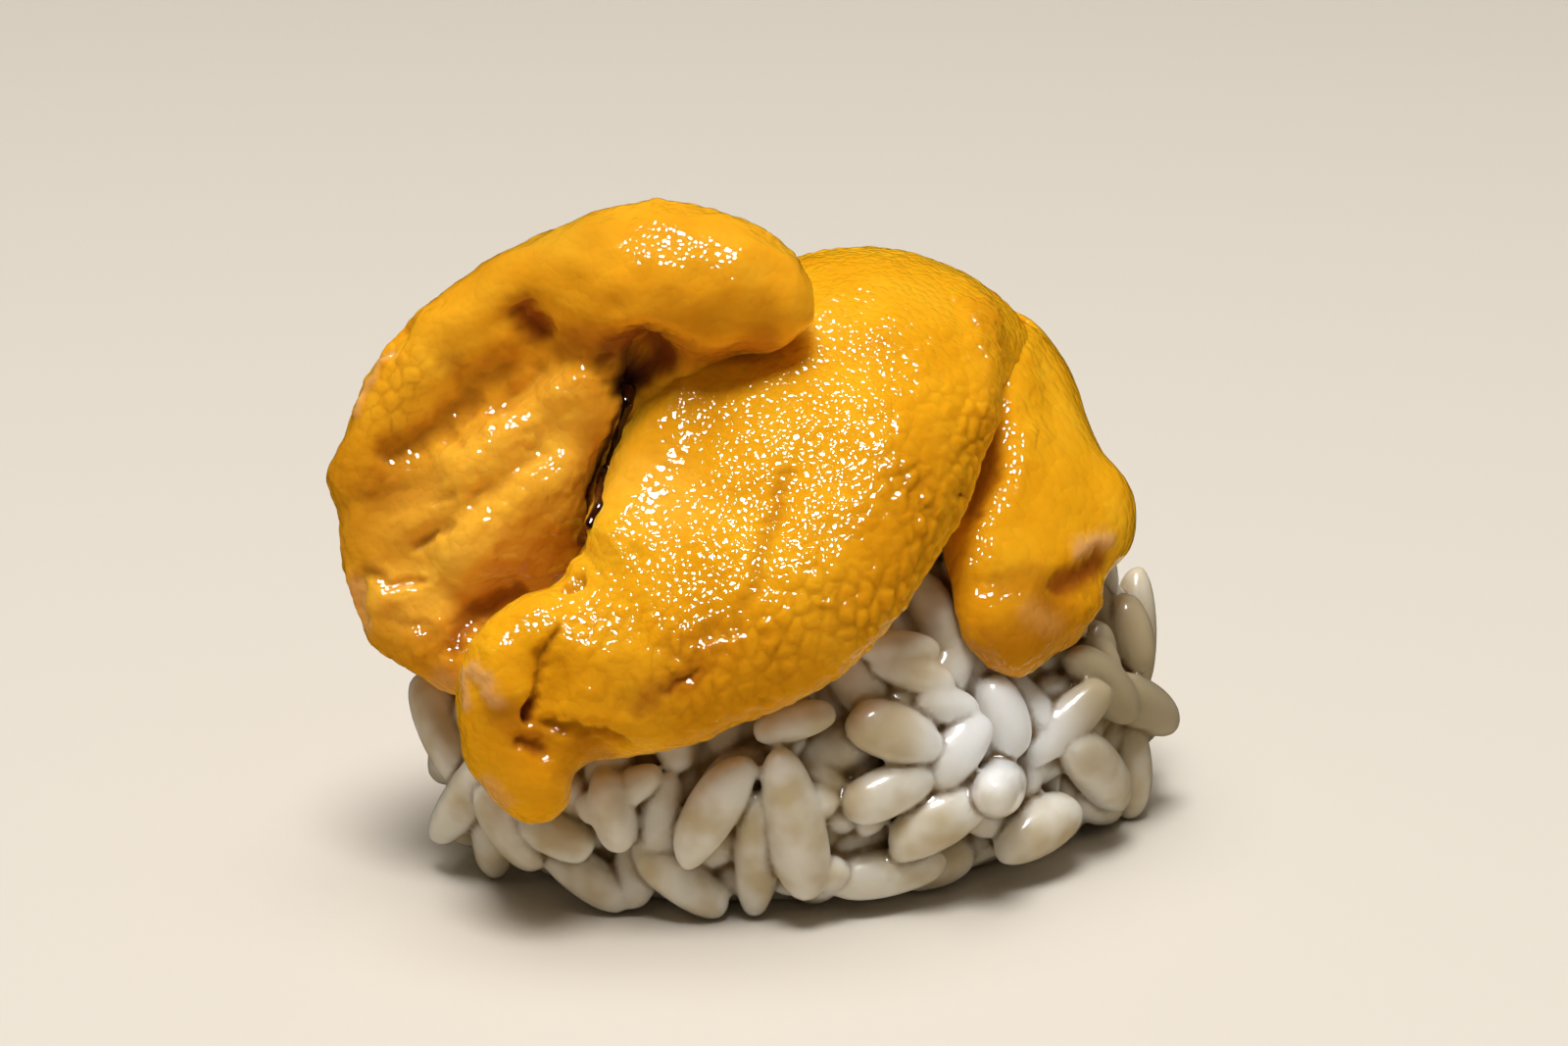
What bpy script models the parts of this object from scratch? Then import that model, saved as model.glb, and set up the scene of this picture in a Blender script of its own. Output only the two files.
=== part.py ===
"""Sea urchin sushi: three sea urchin tongues draped over a hand-pressed mound of rice.

Metres, +Z up. The origin is the middle of the spot that the rice rests on. The side
that is served to the diner faces -Y, and the tongues lie across the rice from left (-X)
to right (+X). The mound's long axis is turned a little, so that its right end lies back.
"""

import math
import random

import bmesh
import bpy
import numpy as np
from mathutils import Matrix, Vector
from mathutils.bvhtree import BVHTree

MM = 0.001

# The rice mound: an egg of pressed rice cut flat where it rests.
MOUND_CENTRE = Vector((2.4, 0.2, 6.4)) * MM
MOUND_HALF = Vector((17.5, 11.3, 12.6)) * MM
MOUND_TURN = math.radians(22)
MOUND_DIP = math.radians(4)
MOUND_SEGMENTS = 28
MOUND_RINGS = 14

# A cooked short grain, and how the grains lie on the mound.
GRAIN_LONG = 7.2 * MM
GRAIN_WIDE = 3.1 * MM
GRAIN_SIDES = 5
GRAIN_RINGS = 4
GRAIN_SPACING = 2.6 * MM
FRONT_SPACING = 3.1 * MM
GRAIN_TRIES = 5000
GRAIN_SEED = 11
GRAIN_BED = 0.65 * MM
GRAIN_HOLD = 0.4
FLOOR_CLEARANCE = 0.05 * MM

# How a grain gives way where a tongue is near: its length, its width and how far it sinks
# in mm on the served side, and its size and stand-off in widths elsewhere.
FRONT_GIVE = ((1, 1, 0), (0.9, 0.95, 0.4), (0.8, 0.9, 0.8), (0.7, 0.8, 1.2))
SCATTER_GIVE = ((1.0, 0.38), (0.85, 0.1), (0.7, -0.1), (0.55, -0.15))

# The diner's eye, from which the grains on the served side are laid out one by one.
EYE = Vector((0.0, -220.9, 89.5)) * MM

# Each grain on the served side: its two ends and its width, in mm. An end is given by how
# far across and how far up it appears from the eye, on an upright plane through the middle
# of the design, and by how far it stands off the grains' bed round the core.
FRONT_GRAINS = (
    ((-16.3, -1.0, 0.8), (-12.6, 4.4, 0.8), 2.4),
    ((-13.8, 2.0, 1.2), (-10.9, -2.5, 1.0), 2.8),
    ((-12.0, 0.5, 0.8), (-8.3, -1.6, 0.8), 2.4),
    ((-7.7, 2.7, 1.2), (-7.0, -1.8, 1.2), 2.3),
    ((-8.8, 0.5, 0.2), (-4.8, 3.0, 0.2), 2.0),
    ((-10.6, -1.4, 0.2), (-6.4, -4.6, 0.6), 2.4),
    ((-4.5, 2.9, -0.4), (-5.4, -3.2, -0.4), 2.4),
    ((-0.7, 3.4, 1.2), (-3.9, -2.3, 1.4), 2.7),
    ((-5.9, -2.4, 0.4), (-1.6, -5.4, 0.8), 2.4),
    ((0.1, 1.0, 0.4), (-0.3, -5.7, 0.8), 2.3),
    ((1.0, 3.9, 1.4), (2.6, -4.1, 1.6), 3.0),
    ((-0.3, 4.8, 0.4), (3.8, 6.0, 0.4), 1.9),
    ((2.0, 3.2, -0.6), (4.5, 0.1, -0.6), 2.6),
    ((4.6, 5.6, 0.4), (8.5, 4.1, 0.4), 2.9),
    ((4.1, 0.7, 0.6), (8.6, 2.9, 0.6), 2.6),
    ((7.2, -1.3, 1.4), (10.7, 1.2, 1.4), 3.1),
    ((3.4, -3.2, 0.8), (9.3, -2.1, 0.8), 2.5),
    ((7.0, -4.4, 0.0), (10.4, -2.7, 0.0), 2.2),
    ((5.8, 8.8, 1.0), (9.9, 7.2, 1.4), 2.0),
    ((5.9, 9.6, 2.6), (9.9, 9.4, 3.0), 1.9),
    ((7.4, 6.8, 0.2), (10.6, 5.8, 0.2), 2.0),
    ((8.7, 2.2, 1.0), (11.0, 5.3, 1.0), 2.6),
    ((11.8, 2.3, -2.2), (11.4, 1.6, 3.4), 3.0),
    ((12.5, 8.0, 2.0), (14.2, 2.6, 2.4), 2.7),
    ((15.1, 4.6, 0.8), (17.7, 1.2, 1.0), 2.8),
    ((12.2, -1.9, 1.6), (15.9, 0.7, 1.4), 3.0),
    ((15.4, 0.3, 0.0), (17.7, -1.0, 0.2), 2.2),
    ((17.5, 12.0, 0.6), (18.8, 8.0, 0.8), 2.4),
    ((15.0, 9.1, 0.2), (18.0, 5.8, 0.4), 2.6),
    ((17.4, 7.4, 0.8), (20.6, 5.3, 0.6), 2.6),
)

# Pieces that touch keep this gap, and shapes are remeshed at this fineness.
GAP = 0.3 * MM
VOXEL = 0.5 * MM
SHAPE_SMOOTHING = 5
TONGUE_TRIANGLES = 1650


def rgba(hex_colour):
    """Linear colour of an sRGB hex value such as "E39A1C"."""
    channels = [int(hex_colour[i : i + 2], 16) / 255 for i in (0, 2, 4)]
    linear = [c / 12.92 if c <= 0.04045 else ((c + 0.055) / 1.055) ** 2.4 for c in channels]
    return (*linear, 1.0)


def finish(name, colour, roughness):
    """A Principled BSDF with the part's colour and roughness."""
    material = bpy.data.materials.new(name)
    material.use_nodes = True
    shader = material.node_tree.nodes["Principled BSDF"]
    shader.inputs["Base Color"].default_value = rgba(colour)
    shader.inputs["Roughness"].default_value = roughness
    return material


def object_from(name, bm):
    """A scene object that holds this bmesh, with its faces pointing out."""
    bmesh.ops.recalc_face_normals(bm, faces=bm.faces)
    mesh = bpy.data.meshes.new(name)
    bm.to_mesh(mesh)
    bm.free()
    obj = bpy.data.objects.new(name, mesh)
    bpy.context.scene.collection.objects.link(obj)
    return obj


def apply_modifiers(obj):
    """Replaces the object's mesh by the mesh that its modifiers make."""
    bpy.context.view_layer.update()
    evaluated = obj.evaluated_get(bpy.context.evaluated_depsgraph_get())
    mesh = bpy.data.meshes.new_from_object(evaluated)
    obj.modifiers.clear()
    obj.data = mesh


def keep_largest_body(obj):
    """Drops loose scraps and the walls of sealed hollows, which a Boolean can leave."""
    bm = bmesh.new()
    bm.from_mesh(obj.data)
    bodies = []
    unseen = set(bm.verts)
    while unseen:
        body = {unseen.pop()}
        edge_of_search = list(body)
        while edge_of_search:
            vert = edge_of_search.pop()
            for edge in vert.link_edges:
                other = edge.other_vert(vert)
                if other in unseen:
                    unseen.discard(other)
                    body.add(other)
                    edge_of_search.append(other)
        bodies.append(body)
    bodies.sort(key=len)
    scraps = [vert for body in bodies[:-1] for vert in body]
    bmesh.ops.delete(bm, geom=scraps, context="VERTS")
    bm.to_mesh(obj.data)
    bm.free()


def smooth_curve(stations, steps):
    """Points of a Catmull-Rom curve through the stations, each a row of numbers."""
    rows = np.array(stations, float)
    ends = (2 * rows[0] - rows[1], 2 * rows[-1] - rows[-2])
    rows = np.vstack([ends[0], rows, ends[1]])
    points = []
    for i in range(1, len(rows) - 2):
        before, start, end, after = rows[i - 1 : i + 3]
        for t in np.linspace(0, 1, steps, endpoint=False):
            points.append(
                0.5 * (
                    2 * start
                    + (end - before) * t
                    + (2 * before - 5 * start + 4 * end - after) * t**2
                    + (3 * start - before - 3 * end + after) * t**3
                )
            )
    points.append(rows[-2])
    return np.array(points)


def add_roll(bm, stations, sides=20, steps=6, cap_rings=4):
    """A soft roll along a curve. A station is x, y, z, half width and half thickness, in mm.

    The thickness points away from the mound, so the roll lies on it like a tongue.
    """
    curve = smooth_curve(stations, steps) * MM
    heart = MOUND_CENTRE
    sections = []
    for i, (x, y, z, wide, thick) in enumerate(curve):
        ahead = curve[min(i + 1, len(curve) - 1), :3] - curve[max(i - 1, 0), :3]
        sections.append((Vector((x, y, z)), Vector(ahead).normalized(), wide, thick))
    first, last = sections[0], sections[-1]
    for k in range(1, cap_rings + 1):
        angle = math.radians(90) * k / (cap_rings + 0.4)
        for place, (spot, ahead, wide, thick), way in ((0, first, -1), (len(sections), last, 1)):
            tip = spot + ahead * (way * thick * math.sin(angle))
            scale = math.cos(angle)
            sections.insert(place if way < 0 else len(sections), (tip, ahead, wide * scale, thick * scale))
    rings = []
    for spot, ahead, wide, thick in sections:
        outward = (spot - heart) - ahead * (spot - heart).dot(ahead)
        outward.normalize()
        across = ahead.cross(outward)
        turns = [2 * math.pi * s / sides for s in range(sides)]
        rings.append(
            [
                bm.verts.new(spot + across * (wide * math.cos(a)) + outward * (thick * math.sin(a)))
                for a in turns
            ]
        )
    for one, two in zip(rings, rings[1:]):
        for s in range(sides):
            bm.faces.new((one[s], one[(s + 1) % sides], two[(s + 1) % sides], two[s]))
    bm.faces.new(reversed(rings[0]))
    bm.faces.new(rings[-1])


def add_ball(bm, centre, half, lean=0.0):
    """An ellipsoid, in mm, leaned about Y by an angle in degrees."""
    place = Matrix.Translation(Vector(centre) * MM)
    turn = Matrix.Rotation(math.radians(lean), 4, "Y")
    size = Matrix.Diagonal((*(h * MM for h in half), 1))
    bmesh.ops.create_uvsphere(bm, u_segments=24, v_segments=16, radius=1, matrix=place @ turn @ size)


def press(obj, start, end, width, depth, push):
    """Presses a soft groove along a straight run, or a pit where start equals end, in mm.

    The flesh moves along push, most on the line and fading over the width.
    """
    a, b = (Vector(p) * MM for p in (start, end))
    run = b - a
    move = Vector(push).normalized() * (depth * MM)
    for vert in obj.data.vertices:
        t = 0.0
        if run.length > 0:
            t = min(1.0, max(0.0, (vert.co - a).dot(run) / run.length_squared))
        away = (vert.co - (a + run * t)).length / (width * MM)
        vert.co += move * math.exp(-away * away)


def blend_shapes(obj, smoothing=SHAPE_SMOOTHING):
    """Melts the shapes of one object into one closed skin."""
    remesh = obj.modifiers.new("Melt", "REMESH")
    remesh.mode = "VOXEL"
    remesh.voxel_size = VOXEL
    smooth = obj.modifiers.new("Soften", "SMOOTH")
    smooth.factor = 0.5
    smooth.iterations = smoothing
    apply_modifiers(obj)


def thin_out(obj, triangles):
    """Reduces the mesh to about this many triangles, which keeps its form."""
    faces = sum(len(polygon.vertices) - 2 for polygon in obj.data.polygons)
    decimate = obj.modifiers.new("Thin out", "DECIMATE")
    decimate.ratio = min(1.0, triangles / faces)
    apply_modifiers(obj)


def grown_copy(obj, name, distance):
    """A cutter: a copy of the object, larger by this distance all round."""
    cutter = bpy.data.objects.new(name, obj.data.copy())
    bpy.context.scene.collection.objects.link(cutter)
    grow = cutter.modifiers.new("Grow", "DISPLACE")
    grow.mid_level = 0
    grow.strength = distance
    apply_modifiers(cutter)
    cutter.hide_render = True
    cutter.display_type = "WIRE"
    return cutter


def cut(obj, cutters):
    """Cuts the object by each cutter in turn, and keeps its main body."""
    for cutter in cutters:
        difference = obj.modifiers.new("Fit " + cutter.name, "BOOLEAN")
        difference.operation = "DIFFERENCE"
        difference.solver = "EXACT"
        difference.object = cutter
        apply_modifiers(obj)
        keep_largest_body(obj)


def mound_matrix(grown=0.0):
    """Turns a unit sphere into the rice mound, or into the mound grown all round."""
    return (
        Matrix.Translation(MOUND_CENTRE)
        @ Matrix.Rotation(MOUND_TURN, 4, "Z")
        @ Matrix.Rotation(MOUND_DIP, 4, "Y")
        @ Matrix.Diagonal((*(half + grown for half in MOUND_HALF), 1))
    )


def rice_core():
    """The bare core of the mound, flat where it rests."""
    bm = bmesh.new()
    bmesh.ops.create_uvsphere(
        bm, u_segments=MOUND_SEGMENTS, v_segments=MOUND_RINGS, radius=1, matrix=mound_matrix()
    )
    cut_plane = bmesh.ops.bisect_plane(
        bm, geom=bm.verts[:] + bm.edges[:] + bm.faces[:], plane_co=(0, 0, 0), plane_no=(0, 0, 1),
        clear_inner=True,
    )
    rim = [item for item in cut_plane["geom_cut"] if isinstance(item, bmesh.types.BMEdge)]
    bmesh.ops.contextual_create(bm, geom=rim)
    return object_from("rice", bm)


def centre_tongue():
    """The middle tongue: it comes over the top and hangs down at the front left."""
    bm = bmesh.new()
    add_roll(
        bm,
        [
            (-8.6, -12.2, 12.0, 4.0, 3.2),
            (-4.6, -11.4, 14.0, 5.8, 3.8),
            (-0.4, -9.2, 17.0, 7.6, 4.2),
            (2.4, -5.0, 20.8, 8.1, 4.4),
            (4.6, 1.0, 23.5, 7.2, 4.6),
            (7.2, 6.8, 22.5, 6.6, 4.2),
            (8.2, 11.2, 17.2, 5.6, 3.4),
            (8.8, 13.2, 11.6, 3.6, 2.6),
        ],
    )
    # The front end is folded under into a small hook.
    add_roll(
        bm,
        [
            (-9.6, -12.6, 14.4, 2.2, 2.2),
            (-11.6, -13.0, 12.6, 2.2, 2.2),
            (-11.4, -13.8, 9.6, 2.4, 2.0),
            (-10.2, -14.0, 7.4, 2.0, 1.8),
        ],
    )
    obj = object_from("urchin_centre", bm)
    blend_shapes(obj)
    # A shallow crease runs along the back, and a tighter one sets off the hook.
    press(obj, (2.6, -10.0, 22.0), (-0.6, -13.0, 16.4), 1.3, 0.5, (0, 1, -0.6))
    press(obj, (-9.0, -15.6, 13.8), (-9.6, -16.2, 10.0), 0.9, 0.9, (0, 1, 0))
    thin_out(obj, TONGUE_TRIANGLES)
    return obj


def left_tongue():
    """The left tongue, turned inner side out: a cupped leaf with a thick curled rim."""
    bm = bmesh.new()
    add_ball(bm, (-12.0, -3.4, 17.8), (6.6, 5.0, 7.4), lean=10)
    add_ball(bm, (-7.4, -2.6, 23.0), (5.8, 4.4, 4.8))
    add_roll(
        bm,
        [
            (-13.0, -8.4, 11.8, 2.3, 2.3),
            (-16.4, -6.6, 13.4, 2.2, 2.2),
            (-17.5, -5.2, 17.8, 2.2, 2.2),
            (-16.6, -4.6, 22.6, 2.2, 2.2),
            (-13.9, -4.2, 26.0, 2.3, 2.3),
            (-9.9, -4.2, 28.2, 2.8, 2.8),
            (-5.4, -4.6, 28.7, 3.9, 3.9),
            (-1.2, -5.2, 28.6, 3.3, 3.3),
            (0.4, -5.5, 28.1, 2.5, 2.5),
        ],
    )
    # Behind the cup the flesh lies back over the rice.
    add_roll(
        bm,
        [
            (-9.4, -1.5, 19.6, 6.0, 4.2),
            (-9.0, 3.0, 17.0, 6.2, 3.2),
            (-8.6, 7.0, 12.6, 5.0, 2.8),
            (-8.2, 9.2, 8.8, 3.2, 2.2),
        ],
    )
    obj = object_from("urchin_left", bm)
    blend_shapes(obj)
    # The cup is deepest under the rim, with lumps of flesh across its floor.
    press(obj, (-10.6, -8.0, 27.0), (-10.4, -8.0, 25.4), 1.3, 2.4, (0, 1, 0))
    press(obj, (-16.0, -8.0, 21.0), (-13.8, -8.0, 23.6), 1.2, 1.6, (0, 1, 0))
    press(obj, (-8.2, -7.4, 23.0), (-8.8, -8.6, 19.6), 1.8, 0.9, (0, -1, 0.2))
    press(obj, (-13.8, -8.4, 17.4), (-12.0, -8.8, 15.4), 1.6, 0.7, (0, -1, 0.2))
    press(obj, (-12.6, -9.6, 13.4), (-11.4, -9.0, 14.6), 1.3, 1.2, (0, 1, 0))
    thin_out(obj, TONGUE_TRIANGLES)
    return obj


def right_tongue():
    """The right tongue: it hangs over the mound's far end, beside the middle one."""
    bm = bmesh.new()
    add_roll(
        bm,
        [
            (11.0, -5.8, 12.6, 3.3, 2.8),
            (11.6, -4.2, 13.6, 4.6, 3.4),
            (12.6, -1.0, 15.4, 5.2, 3.8),
            (12.4, 2.4, 17.6, 5.2, 3.8),
            (11.5, 6.0, 20.0, 4.6, 3.8),
            (10.3, 9.6, 20.0, 4.6, 3.6),
            (9.8, 12.8, 14.0, 3.8, 3.0),
        ],
    )
    add_ball(bm, (15.0, 1.2, 15.4), (3.3, 3.8, 3.4), lean=-20)
    obj = object_from("urchin_right", bm)
    blend_shapes(obj)
    # The lower end is tucked in under a soft fold.
    press(obj, (12.4, -6.4, 13.2), (17.4, -0.4, 12.6), 1.0, 0.8, (-0.4, 1, 0))
    thin_out(obj, TONGUE_TRIANGLES)
    return obj


def grain_points(spot, out, lie, length, width, plump):
    """Corners of one grain: its rings from end to end, along the direction lie."""
    side = out.cross(lie).normalized()
    up = lie.cross(side).normalized()
    rings = []
    for r in range(1, GRAIN_RINGS):
        angle = math.pi * r / GRAIN_RINGS
        along = -math.cos(angle) * length / 2
        girth = math.sin(angle) ** 0.7 * width / 2
        ring = []
        for s in range(GRAIN_SIDES):
            turn = 2 * math.pi * s / GRAIN_SIDES
            ring.append(spot + lie * along + side * (math.cos(turn) * girth) + up * (math.sin(turn) * girth * plump))
        rings.append(ring)
    return [spot - lie * (length / 2)], rings, [spot + lie * (length / 2)]


def add_grain(bm, parts):
    """One grain as a closed solid of about 30 triangles."""
    (start,), rings, (end,) = parts
    first, last = bm.verts.new(start), bm.verts.new(end)
    rows = [[bm.verts.new(co) for co in ring] for ring in rings]
    count = len(rows[0])
    for s in range(count):
        after = (s + 1) % count
        bm.faces.new((first, rows[0][after], rows[0][s]))
        bm.faces.new((last, rows[-1][s], rows[-1][after]))
        for one, two in zip(rows, rows[1:]):
            bm.faces.new((one[s], one[after], two[after], two[s]))


def tree_of(obj):
    """A search tree over the faces of an object that sits at the origin."""
    bm = bmesh.new()
    bm.from_mesh(obj.data)
    tree = BVHTree.FromBMesh(bm)
    bm.free()
    return tree


def clear_of(tree, point, gap):
    """Whether a point lies outside a closed solid by more than the gap.

    A line from a point inside the solid crosses its skin an odd number of times.
    """
    distance = tree.find_nearest(point)[3]
    if distance <= gap:
        return False
    way = Vector((0.31, -0.23, 0.92)).normalized()
    crossings = 0
    spot = tree.ray_cast(point, way)[0]
    while spot is not None:
        crossings += 1
        spot = tree.ray_cast(spot + way * (0.001 * MM), way)[0]
    return crossings % 2 == 0


def sight_to_mound(across, up, stand_off):
    """The point on the mound, grown by the stand-off, that the eye sees across and up, in mm.

    A line of sight that passes beside the mound gives its nearest point to the mound.
    """
    grown = mound_matrix(stand_off * MM + GRAIN_BED)
    away = grown.inverted()
    eye = away @ EYE
    way = away @ (Vector((across, 0, up)) * MM) - eye
    nearest = -eye.dot(way) / way.length_squared
    beside = (eye + way * nearest).length_squared
    if beside < 1:
        nearest -= math.sqrt((1 - beside) / way.length_squared)
    return grown @ (eye + way * nearest)


def outward_at(point):
    """The direction that points straight away from the mound's skin near a point."""
    mound = mound_matrix()
    return (mound.to_3x3().inverted().transposed() @ (mound.inverted() @ point)).normalized()


def lifted(parts):
    """How far a grain had to rise so that it lies on the floor, and the risen grain."""
    (start,), rings, (end,) = parts
    rise = FLOOR_CLEARANCE - min(co.z for co in (start, end, *(co for ring in rings for co in ring)))
    if rise <= 0:
        return 0.0, parts
    lift = Vector((0, 0, rise))
    return rise, ([start + lift], [[co + lift for co in ring] for ring in rings], [end + lift])


def fits(parts, trees):
    """Whether a grain keeps the gap to every tongue, by its corners and its long sides."""
    (start,), rings, (end,) = parts
    points = [start, end, *(co for ring in rings for co in ring)]
    for one, two in zip(rings, rings[1:]):
        points.extend((a + b) / 2 for a, b in zip(one, two))
    return all(clear_of(tree, co, GAP) for tree in trees for co in points)


def front_grains(core_tree, trees):
    """The grains that the diner sees, each pressed against the core and clear of the tongues."""
    grains = []
    for one, two, width in FRONT_GRAINS:
        start, end = sight_to_mound(*one), sight_to_mound(*two)
        out = outward_at((start + end) / 2)
        loose = core_tree.find_nearest((start + end) / 2)[3] - GRAIN_HOLD * width * MM
        press_in = out * max(0.0, loose)
        start, end = start - press_in, end - press_in
        for shorter, thinner, sink in FRONT_GIVE:
            middle = (start + end) / 2 - out * (sink * MM)
            length = max((end - start).length, 1.7 * width * MM) * shorter
            lie = (end - start).normalized()
            parts = grain_points(middle, out, lie, length, width * thinner * MM, 0.94)
            parts = lifted(parts)[1]
            if fits(parts, trees):
                grains.append((middle, parts))
                break
    return grains


def scattered_grains(trees, grains):
    """Adds grains evenly over the rest of the mound, flat against it."""
    rng = random.Random(GRAIN_SEED)
    mound = mound_matrix()
    front = len(grains)
    for _ in range(GRAIN_TRIES):
        height = rng.uniform(-0.5, 0.8)
        angle = rng.uniform(0, 2 * math.pi)
        level = math.sqrt(1 - height * height)
        spot = mound @ Vector((level * math.cos(angle), level * math.sin(angle), height))
        out = outward_at(spot)
        size = rng.uniform(0.86, 1.04)
        plump = rng.uniform(0.86, 1.0)
        steep = math.radians(rng.gauss(70, 42))
        tilt = rng.gauss(0, 0.4)
        if any((spot - other).length < FRONT_SPACING for other, _ in grains[:front]):
            continue
        if any((spot - other).length < GRAIN_SPACING for other, _ in grains[front:]):
            continue
        level_way = Vector((0, 0, 1)).cross(out).normalized()
        lie = level_way * math.cos(steep) + out.cross(level_way) * math.sin(steep)
        for shorter, stand_off in SCATTER_GIVE:
            way = (lie + out * (tilt * shorter)).normalized()
            width = GRAIN_WIDE * size * shorter
            parts = grain_points(
                spot + out * (stand_off * width), out, way, GRAIN_LONG * size * shorter, width, plump
            )
            rise, parts = lifted(parts)
            if rise < GRAIN_WIDE and fits(parts, trees):
                grains.append((spot, parts))
                break


def lay_grains(core, tongues):
    """Every visible grain of the mound, clear of the tongues and the floor."""
    trees = [tree_of(tongue) for tongue in tongues]
    grains = front_grains(tree_of(core), trees)
    scattered_grains(trees, grains)
    return [parts for _, parts in grains]


def fuse_grains(core, grains):
    """Joins the grains to the core in one union."""
    loose = bpy.data.collections.new("Loose grains")
    bpy.context.scene.collection.children.link(loose)
    for i, parts in enumerate(grains):
        bm = bmesh.new()
        add_grain(bm, parts)
        grain = object_from(f"grain_{i}", bm)
        bpy.context.scene.collection.objects.unlink(grain)
        loose.objects.link(grain)
    union = core.modifiers.new("Press together", "BOOLEAN")
    union.operation = "UNION"
    union.operand_type = "COLLECTION"
    union.collection = loose
    union.solver = "MANIFOLD"
    apply_modifiers(core)
    for grain in list(loose.objects):
        bpy.data.objects.remove(grain)
    bpy.data.collections.remove(loose)
    keep_largest_body(core)


def centre_on_origin(pieces):
    """Moves the whole so that the origin is the middle of its length and depth."""
    corners = [vert.co for piece in pieces for vert in piece.data.vertices]
    middle = Vector([(min(co[i] for co in corners) + max(co[i] for co in corners)) / 2 for i in range(3)])
    middle.z = 0
    for piece in pieces:
        piece.data.transform(Matrix.Translation(-middle))
    return middle


def main():
    """Builds the sushi, from the rice up."""
    for obj in list(bpy.data.objects):
        bpy.data.objects.remove(obj)
    core = rice_core()
    centre, left, right = centre_tongue(), left_tongue(), right_tongue()
    seat = grown_copy(core, "seat", GAP)
    centre_room = grown_copy(centre, "centre_room", GAP)
    cut(centre, [seat])
    cut(left, [seat, centre_room])
    cut(right, [seat, centre_room])
    tongues = (centre, left, right)
    fuse_grains(core, lay_grains(core, tongues))
    middle = centre_on_origin((core, *tongues))
    flesh = finish("sea urchin flesh", "E2981E", 0.35)
    for tongue in tongues:
        tongue.data.materials.clear()
        tongue.data.materials.append(flesh)
        tongue.data.shade_smooth()
    core.data.materials.clear()
    core.data.materials.append(finish("cooked rice", "E4DFD2", 0.4))
    for cutter in (seat, centre_room):
        bpy.data.objects.remove(cutter)
    return middle


DESIGN_MIDDLE = main()
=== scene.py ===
"""Sea urchin sushi: how it looks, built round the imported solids.

Metres, +Z up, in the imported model's own frame. The side that is served to the diner
faces -Y. What the diner sees is laid out from the diner's eye: a place is given by how
far across and how far up it appears, in mm, on an upright plane through the middle of
the design, and is then found on the surface that the line of sight meets there.
"""

import logging
import math
import random
from dataclasses import dataclass, field
from enum import Enum

import bmesh
import bpy
import numpy as np
from mathutils import Matrix, Vector, kdtree, noise
from mathutils.bvhtree import BVHTree

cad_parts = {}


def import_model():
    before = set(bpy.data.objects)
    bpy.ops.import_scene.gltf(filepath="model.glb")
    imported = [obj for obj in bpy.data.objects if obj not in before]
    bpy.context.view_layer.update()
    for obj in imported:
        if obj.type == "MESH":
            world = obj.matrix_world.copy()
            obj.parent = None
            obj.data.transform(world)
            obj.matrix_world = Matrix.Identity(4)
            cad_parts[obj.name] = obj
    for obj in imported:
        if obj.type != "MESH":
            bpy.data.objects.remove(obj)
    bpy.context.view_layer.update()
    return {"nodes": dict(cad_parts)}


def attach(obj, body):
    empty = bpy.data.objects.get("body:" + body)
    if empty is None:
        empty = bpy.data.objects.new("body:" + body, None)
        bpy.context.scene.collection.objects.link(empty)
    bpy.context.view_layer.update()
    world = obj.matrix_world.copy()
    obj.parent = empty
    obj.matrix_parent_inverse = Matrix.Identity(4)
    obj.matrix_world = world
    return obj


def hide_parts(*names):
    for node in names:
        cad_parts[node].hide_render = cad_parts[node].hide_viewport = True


LOG = logging.getLogger("sushi")
MM = 0.001

# A hair: places that lie closer than this are one.
HAIR_MM = 0.001

# Without a seed of its own, vector noise starts from the time of day.
NOISE_SEED = 7

# The design's own middle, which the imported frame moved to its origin.
MIDDLE = Vector((1.19, -0.07, 0.0)) * MM
EYE = Vector((0.0, -220.9, 89.5)) * MM - MIDDLE

Sight = tuple[float, float]
Place = tuple[float, float, float]
Thing = bpy.types.Object
Socket = bpy.types.NodeSocket


class Mark(Enum):
    """What a stroke leaves on the flesh, as a float attribute of its vertices."""

    RELIEF = "relief"
    # Brown stains, and painted shade in pits, creases, hollows and under overhangs.
    STAIN_AND_SHADE = "stain"
    SOY = "soy"
    PALE = "pale"
    CALM = "calm"
    COARSE = "coarse"
    WET = "wet"
    # Painted light: lightens the colour where the skin should look more brightly lit.
    BRIGHT = "bright"
    # Painted shade: darkens the colour where the skin should look more shaded.
    SHADE = "shade"


def linear(hex_colour: str) -> tuple[float, float, float, float]:
    """Turns an sRGB colour into linear light.

    Args:
        hex_colour: Six hex digits, such as "E39A1C".

    Returns:
        Red, green, blue and an alpha of 1.
    """
    channels = [int(hex_colour[i : i + 2], 16) / 255 for i in (0, 2, 4)]
    values = [c / 12.92 if c <= 0.04045 else ((c + 0.055) / 1.055) ** 2.4 for c in channels]
    return (*values, 1.0)


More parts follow.
